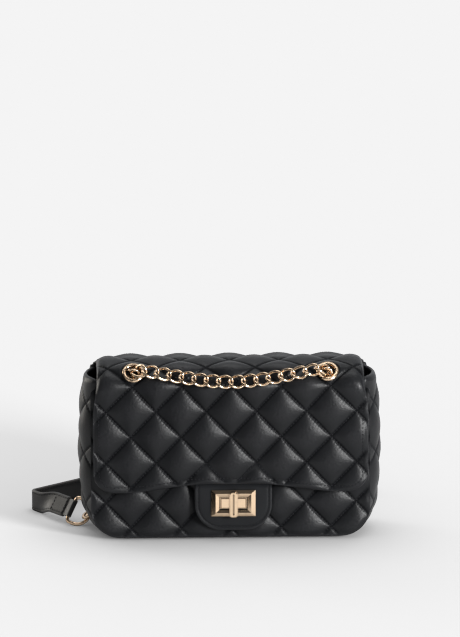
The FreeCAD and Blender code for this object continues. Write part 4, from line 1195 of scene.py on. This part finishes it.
def inner_pocket():
    corners = [(-60, 24, 8), (60, 24, 8), (60, 96, 3), (-60, 96, 3)]
    sheet = Sheet(rounded_loop(corners), cells=10, rings=(0.3, 0.8, 1.5, 2.4))
    u, v = sheet.uv.T
    slack = 0.25 * np.sin(u / 13.0 + 0.8) * smooth((v - 40) / 50)
    outer, inner = edge_offsets(sheet, 1.0, 0.7, slack - 0.1)
    pocket = padded("slip_pocket", sheet, pocket_surface, outer, inner, LINING)
    soft(pocket, "lining_fabric", "bag_body", "inner_pocket")


def ring_plan(half, near, far, radius, count):
    """A rounded rectangle in plan, as count points."""
    corners = [(-half, near, radius), (half, near, radius), (half, far, radius), (-half, far, radius)]
    loop = rounded_loop(corners, 1.0)
    reach = np.linspace(0, len(loop), count, endpoint=False)
    closed = np.vstack([loop, loop[:1]])
    return np.stack([np.interp(reach, np.arange(len(closed)), closed[:, k]) for k in range(2)], -1)


def lining_bag():
    """Cloth bag inside the purse: it hangs in soft vertical folds and is open at the top."""
    count, top, base = 240, 126.0, BASE_Z + LINING_INSET
    radius = CORNER_R - LINING_INSET

    def ring(z, inside, shrink=0.0):
        """One closed line at height z, set in by inside. shrink draws it in to close the base."""
        low = max(0.0, base + radius - z)
        rounding = math.sqrt(max(0.0, radius**2 - min(low, radius) ** 2))
        half = PANEL_HALF - LINING_INSET - inside - radius + rounding
        near = front_y(z) + QUILT_T + 3.0 + inside
        far = back_y(z) - QUILT_T - 0.3 - inside
        middle = (near + far) / 2
        near, far = near + (middle - near) * shrink, far + (middle - far) * shrink
        plan = ring_plan(half * (1 - shrink * 0.3), near, far, max(0.6, 6.0 * (1 - shrink)), count)
        turn = np.linspace(0, 2 * math.pi, count, endpoint=False)
        fold = np.sin(turn * 9 + 1.1 * math.sin(z / 21.0)) * np.sin(turn * 4 + z / 30.0)
        pull = 1 - 0.006 * (0.5 + 0.5 * fold) * smooth(np.array((top - z) / 20)) * (1 - shrink)
        centre = np.array([0.0, middle])
        plan = centre + (plan - centre) * np.stack([pull, pull**2], -1)
        return np.column_stack([plan, np.full(count, z)])

    heights = np.concatenate([[base + 0.05, base + 0.6, base + 2], np.linspace(base + 5, top, 24)])
    outside = [ring(base, 0, share) for share in (0.98, 0.6, 0.25)] + [ring(z, 0) for z in heights]
    hem = [ring(top + 0.35, 0.2), ring(top + 0.35, 0.6)]
    inside = [ring(z, 0.8) for z in heights[::-1] if z > base + 0.7]
    inside += [ring(base + 0.8, 0.8, share) for share in (0.1, 0.25, 0.6, 0.98)]
    rings = outside + hem + inside
    points = np.vstack(rings)
    faces = tube_faces(len(rings), count)
    flat = np.column_stack([points[:, 0] + points[:, 1], points[:, 2], np.zeros(len(points))]) * MM
    bag = mesh_object("lining_bag", points, faces, LINING, flat, np.zeros(len(points)))
    soft(bag, "lining_fabric", "bag_body", "lining")


# ---------------------------------------------------------------- strap
UPRIGHT = np.array([0.0, 0.0, 1.0])
END_STEP, RUN_STEP, BEND_STEP, BEND_TURN = 1.5, 4.0, 1.2, 0.12  # spacing of the strap's sections


def level(heading):
    """Direction on the floor."""
    return np.array([math.cos(heading), math.sin(heading), 0.0])


def left_of(heading):
    return np.array([-math.sin(heading), math.cos(heading), 0.0])


def strap_end(ring, heading, side):
    return joint_point(ring), level(heading), -left_of(heading) * side


def end_piece(ring, heading, side):
    """Stations from a ring's bar, where the strap leans, to where it stands upright on the floor."""
    middle, along, flat = strap_end(ring, heading, side)
    straight = np.arange(STRAP_START, STRAP_STRAIGHT, END_STEP)
    made = []
    for reach in np.concatenate([straight, np.linspace(STRAP_STRAIGHT, STRAP_UPRIGHT, 14)]):
        drop = float(smooth(np.array((reach - STRAP_STRAIGHT) / (STRAP_UPRIGHT - STRAP_STRAIGHT))))
        lean = STRAP_LEAN * (1 - drop)
        spot = middle + along * reach
        spot[2] = middle[2] + (STRAP_W / 2 - middle[2]) * drop
        wide = UPRIGHT * math.cos(lean) + flat * math.sin(lean)
        made.append((spot, wide, flat * math.cos(lean) - UPRIGHT * math.sin(lean)))
    return made


def strap_stations():
    """Middle of the strap, its direction across its width and through its thickness, all along it."""
    stations = end_piece("ring_left_tilt", STRAP_HEADING, 1)
    middle, along, _ = strap_end("ring_left_tilt", STRAP_HEADING, 1)
    right = joint_point("ring_right_tilt")
    spot, heading = middle + along * STRAP_UPRIGHT, STRAP_HEADING
    spot[2] = STRAP_W / 2

    def run(length):
        nonlocal spot
        count = max(1, int(length / RUN_STEP))
        for _ in range(count):
            spot = spot + level(heading) * (length / count)
            stations.append((spot, UPRIGHT, -left_of(heading)))

    def bend(angle, radius):
        nonlocal spot, heading
        count = max(3, int(abs(angle) * radius / BEND_STEP), int(abs(angle) / BEND_TURN))
        side = math.copysign(1, angle)
        for _ in range(count):
            centre = spot + left_of(heading) * side * radius
            heading += angle / count
            spot = centre - left_of(heading) * side * radius
            stations.append((spot, UPRIGHT, -left_of(heading)))

    slant = STRAP_HEADING - STRAP_FOLD
    run(7.0)
    bend(-STRAP_FOLD, STRAP_FOLD_R)
    rise = right[1] + 4 * STRAP_TURN_R - spot[1] - STRAP_BEND_R * (1 - math.cos(slant))
    run(rise / math.sin(slant))
    bend(-slant, STRAP_BEND_R)
    run(STRAP_RIGHT_X - spot[0])
    bend(-math.pi, STRAP_TURN_R)
    run(spot[0] - STRAP_LEFT_X)
    bend(math.pi, STRAP_TURN_R)
    run(right[0] - STRAP_UPRIGHT - spot[0])
    stations.pop()
    stations += end_piece("ring_right_tilt", math.pi, -1)[::-1]
    return [np.array(column) for column in zip(*stations)]


STRAP_HEM, STRAP_SPACING = 2.3, 3.0  # stitches along the strap: distance from its edge, and from each other


def strap_section():
    """Half of the strap's section: a rolled edge, a sewn groove and a flatter middle."""
    half, thick = STRAP_W / 2, STRAP_T / 2
    across = [-half, -half + 0.06, -half + 0.3, -half + 0.8, -half + 1.4, -half + STRAP_HEM - 0.35]
    across += [-half + STRAP_HEM, -half + STRAP_HEM + 0.35, -half + STRAP_HEM + 1.2, -3.0]
    share = [0.0, 0.3, 0.65, 0.93, 1.0, 0.9, 0.8, 0.88, 0.95, 0.92]
    across += [0.0] + [-w for w in reversed(across)]
    share += [0.91] + list(reversed(share))
    return np.array(across), np.array(share) * thick


def ribbon(name, centre, wide, thick, across, depth, material):
    """A strip swept along centre, closed at both ends. across and depth give its half section."""
    ring_w = np.concatenate([across, across[-2:0:-1]])
    ring_t = np.concatenate([depth, -depth[-2:0:-1]])
    count = len(ring_w)
    taper = np.ones(len(centre))
    taper[[0, -1]] = 0.55
    reach = reach_along(centre)
    ply = (ring_t[None] * taper[:, None])[..., None]
    offsets = wide[:, None] * ring_w[None, :, None] + thick[:, None] * ply
    points = (centre[:, None] + offsets).reshape(-1, 3)
    faces = tube_faces(len(centre), count)
    flat = np.stack([np.repeat(reach, count), np.tile(ring_w, len(centre)), np.zeros(len(points))], -1) * MM
    edge = np.clip(1 - (across.max() - np.abs(np.tile(ring_w, len(centre)))) / 1.3, 0, 1)
    return mesh_object(name, points, faces, material, flat, edge)


def strap():
    centre, wide, thick = strap_stations()
    across, depth = strap_section()
    band = ribbon("shoulder_strap", centre, wide, thick, across, depth, STRAP)
    soft(band, "strap_leather", "strap", "strap_band")
    reach = reach_along(centre)
    want = np.arange(3.0, reach[-1] - 2.5, STRAP_SPACING)

    def at(values, places):
        return np.stack([np.interp(places, reach, values[:, k]) for k in range(3)], -1)

    spots, ways, ups = [], [], []
    hem = STRAP_W / 2 - STRAP_HEM
    face = STRAP_T / 2 * 0.8 + STITCH_R * 0.35
    end_seam, far_seam = 2.0, STRAP_STRAIGHT - STRAP_START
    seams = (end_seam, far_seam, reach[-1] - end_seam, reach[-1] - STRAP_STRAIGHT + STRAP_START)
    for sign in (-1, 1):
        for edge in (-1, 1):
            line = at(centre, want) + at(wide, want) * (edge * hem) + at(thick, want) * (sign * face)
            spots.append(line)
            ways.append(np.gradient(line, axis=0))
            ups.append(at(thick, want) * sign)
        for place in seams:
            cross = np.arange(-hem + STRAP_SPACING / 2, hem, STRAP_SPACING)
            places = np.full(len(cross), place)
            middle = at(thick, places) * (sign * (STRAP_T / 2 * 0.93 + STITCH_R * 0.3))
            spots.append(at(centre, places) + at(wide, places) * cross[:, None] + middle)
            ways.append(at(wide, places))
            ups.append(at(thick, places) * sign)
    rows = (np.vstack(column) for column in (spots, ways, ups))
    sewn = capsules("strap_stitches", *rows, STRAP_SPACING * STITCH_SHARE)
    soft(sewn, "strap_leather", "strap")


def ring_loop(side_name, ring, heading, side):
    """Narrow leather band folded round a ring's bar, its two plies sewn together inside the strap's end."""
    middle, along, flat = strap_end(ring, heading, side)
    bar = UPRIGHT * math.cos(STRAP_LEAN) + flat * math.sin(STRAP_LEAN)
    across = flat * math.cos(STRAP_LEAN) - UPRIGHT * math.sin(STRAP_LEAN)
    gap = LOOP_PLY_T / 2 + 0.02
    legs = [(LOOP_LENGTH, gap), (14.0, gap), (8.0, gap), (5.5, gap + 0.05), (3.8, gap + 0.35)]
    turns = np.linspace(math.radians(62), math.radians(298), 22)
    eye = [(LOOP_EYE_R * math.cos(t), LOOP_EYE_R * math.sin(t)) for t in turns]
    path = resample(np.array(legs + eye + [(a, -b) for a, b in reversed(legs)]), 0.45, closed=False)
    centre = middle + along * path[:, :1] + across * path[:, 1:]
    way = unit(np.gradient(path, axis=0))
    thick = along * -way[:, 1:] + across * way[:, :1]
    steps, swell = np.array([0.0, 0.05, 0.25, 0.7, 1.3]), [0.0, 0.5, 0.85, 1.0, 0.94]
    widths = np.concatenate([steps - LOOP_W / 2, [0], (LOOP_W / 2 - steps)[::-1]])
    share = np.array(swell + [0.94] + swell[::-1]) * LOOP_PLY_T / 2
    wide = np.tile(bar, (len(centre), 1))
    loop = ribbon("ring_band_" + side_name, centre, wide, thick, widths, share, STRAP)
    soft(loop, "strap_leather", "strap", "ring_loop_" + side_name)


# ---------------------------------------------------------------- CAD pieces that stay
LOCK_FACE = ("lock_frame", "lock_base_plate", "turn_bar")
BEVELS = {"lock_frame": 0.22, "lock_base_plate": 0.2, "turn_bar": 0.25}
BEVELS.update(lock_backing_plate=0.2, base_board=0.4)
SHARP_EDGE = math.radians(25)
WELD_REACH = 0.00001  # metres


def finish_cad_nodes():
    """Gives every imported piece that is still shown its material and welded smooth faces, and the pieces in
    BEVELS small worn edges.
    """
    for name, node in frame["nodes"].items():
        if node.hide_render:
            continue
        node.data.materials.clear()
        node.data.materials.append(LOCK_GOLD if name in LOCK_FACE else CAD_MATERIALS[SLOT_OF[name]])
        weld = node.modifiers.new("weld", "WELD")
        weld.merge_threshold = WELD_REACH
        if name in BEVELS:
            bevel = node.modifiers.new("bevel", "BEVEL")
            bevel.width = BEVELS[name] * MM
            bevel.segments = 2
            bevel.limit_method = "ANGLE"
            bevel.angle_limit = SHARP_EDGE
            bevel.harden_normals = True


# ---------------------------------------------------------------- stage
LIGHT_AIM = Vector((0, 0, 0.07))


def area_light(name, place, size, power, colour=(1, 1, 1)):
    """A rectangular lamp, in metres and watts, aimed at the purse."""
    data = bpy.data.lights.new(name, "AREA")
    data.shape = "RECTANGLE"
    data.size, data.size_y = size
    data.energy = power
    data.color = colour
    lamp = bpy.data.objects.new(name, data)
    bpy.context.scene.collection.objects.link(lamp)
    lamp.location = place
    lamp.rotation_euler = (LIGHT_AIM - Vector(place)).to_track_quat("-Z", "Y").to_euler()


PAPER = 0.905  # linear brightness of the plain background
ROOM, BACKDROP = 0.07, 0.85  # brightness of what reflections show in front of the purse and behind it
ROOM_TINT = (0.95, 0.97, 1.0, 1)
WHITE = (1, 1, 1, 1)


def world():
    """Pale paper to the camera, even light on matt surfaces, a dark room and the paper in reflections."""
    n = Nodes(bpy.data.worlds.new("studio"))
    n.tree.nodes.clear()
    rays = n.add("ShaderNodeLightPath").outputs
    way = n.add("ShaderNodeSeparateXYZ", {0: n.add("ShaderNodeTexCoord").outputs["Generated"]}).outputs["Y"]
    reflected = {"Color": ROOM_TINT, "Strength": n.ramp(way, 0.15, 0.75, ROOM, BACKDROP)}
    last = n.add("ShaderNodeBackground", reflected).outputs[0]
    for ray, strength in (("Is Diffuse Ray", 1.0), ("Is Camera Ray", PAPER)):
        shade = n.add("ShaderNodeBackground", {"Color": WHITE, "Strength": strength}).outputs[0]
        last = n.add("ShaderNodeMixShader", {0: rays[ray], 1: last, 2: shade}).outputs[0]
    n.add("ShaderNodeOutputWorld", {"Surface": last})
    bpy.context.scene.world = n.owner


def stage_plane(name, corners, material):
    """A flat four-cornered thing on the stage. corners are in metres."""
    plane = mesh_object(name, np.array(corners) / MM, [[0, 1, 2, 3]], material)
    return plane


def dark_card():
    """A black card left of the purse, seen only in reflections, so that faces turned left are dark."""
    x, near, far, low, high = -0.1, -0.75, -0.06, 0.001, 0.5
    corners = [(x, near, low), (x, far, low), (x, far, high), (x, near, high)]
    card = stage_plane("dark_card", corners, plain("black_card", 0.004, 1.0, 0.0))
    card.visible_camera = card.visible_shadow = card.visible_diffuse = False


def floor():
    half = 3.0
    corners = [(-half, -half, 0), (half, -half, 0), (half, half, 0), (-half, half, 0)]
    plane = stage_plane("floor", corners, plain("pale_floor", 0.5, 0.9, 0.1))
    plane.is_shadow_catcher = True


CAMERA_DISTANCE = 5.0
CAMERA_PITCH = math.radians(14)
CAMERA_YAW = math.radians(2)  # the camera stands a little to the left
CAMERA_AIM = Vector((0.0009, 0.0115, 0.1782))
FRAME_HEIGHT = 0.5274  # what the picture's long side covers at the aimed point


def camera():
    data = bpy.data.cameras.new("camera")
    data.lens = data.sensor_width * CAMERA_DISTANCE / FRAME_HEIGHT
    data.clip_end = 50
    made = bpy.data.objects.new("camera", data)
    bpy.context.scene.collection.objects.link(made)
    level = math.cos(CAMERA_PITCH)
    look = Vector((math.sin(CAMERA_YAW) * level, math.cos(CAMERA_YAW) * level, -math.sin(CAMERA_PITCH)))
    made.location = CAMERA_AIM - look * CAMERA_DISTANCE
    made.rotation_euler = look.to_track_quat("-Z", "Y").to_euler()
    bpy.context.scene.camera = made


def stage():
    scene = bpy.context.scene
    scene.view_settings.view_transform = "Standard"
    world()
    floor()
    dark_card()
    camera()
    area_light("key", (1.2, -1.25, 0.52), (0.4, 0.5), 56)
    area_light("top", (0.1, 0.35, 1.7), (1.5, 0.9), 14)
    area_light("left_back", (-1.1, 0.75, 0.35), (0.5, 0.7), 6, (1.0, 0.95, 0.86))
    area_light("front_fill", (-0.6, -2.2, 0.5), (1.4, 1.0), 1.0)


skin()
flap_lining()
front_panel()
gusset()
lock_tab()
inner_pocket()
lining_bag()
strap()
ring_loop("left", "ring_left_tilt", STRAP_HEADING, 1)
ring_loop("right", "ring_right_tilt", math.pi, -1)
finish_cad_nodes()
stage()
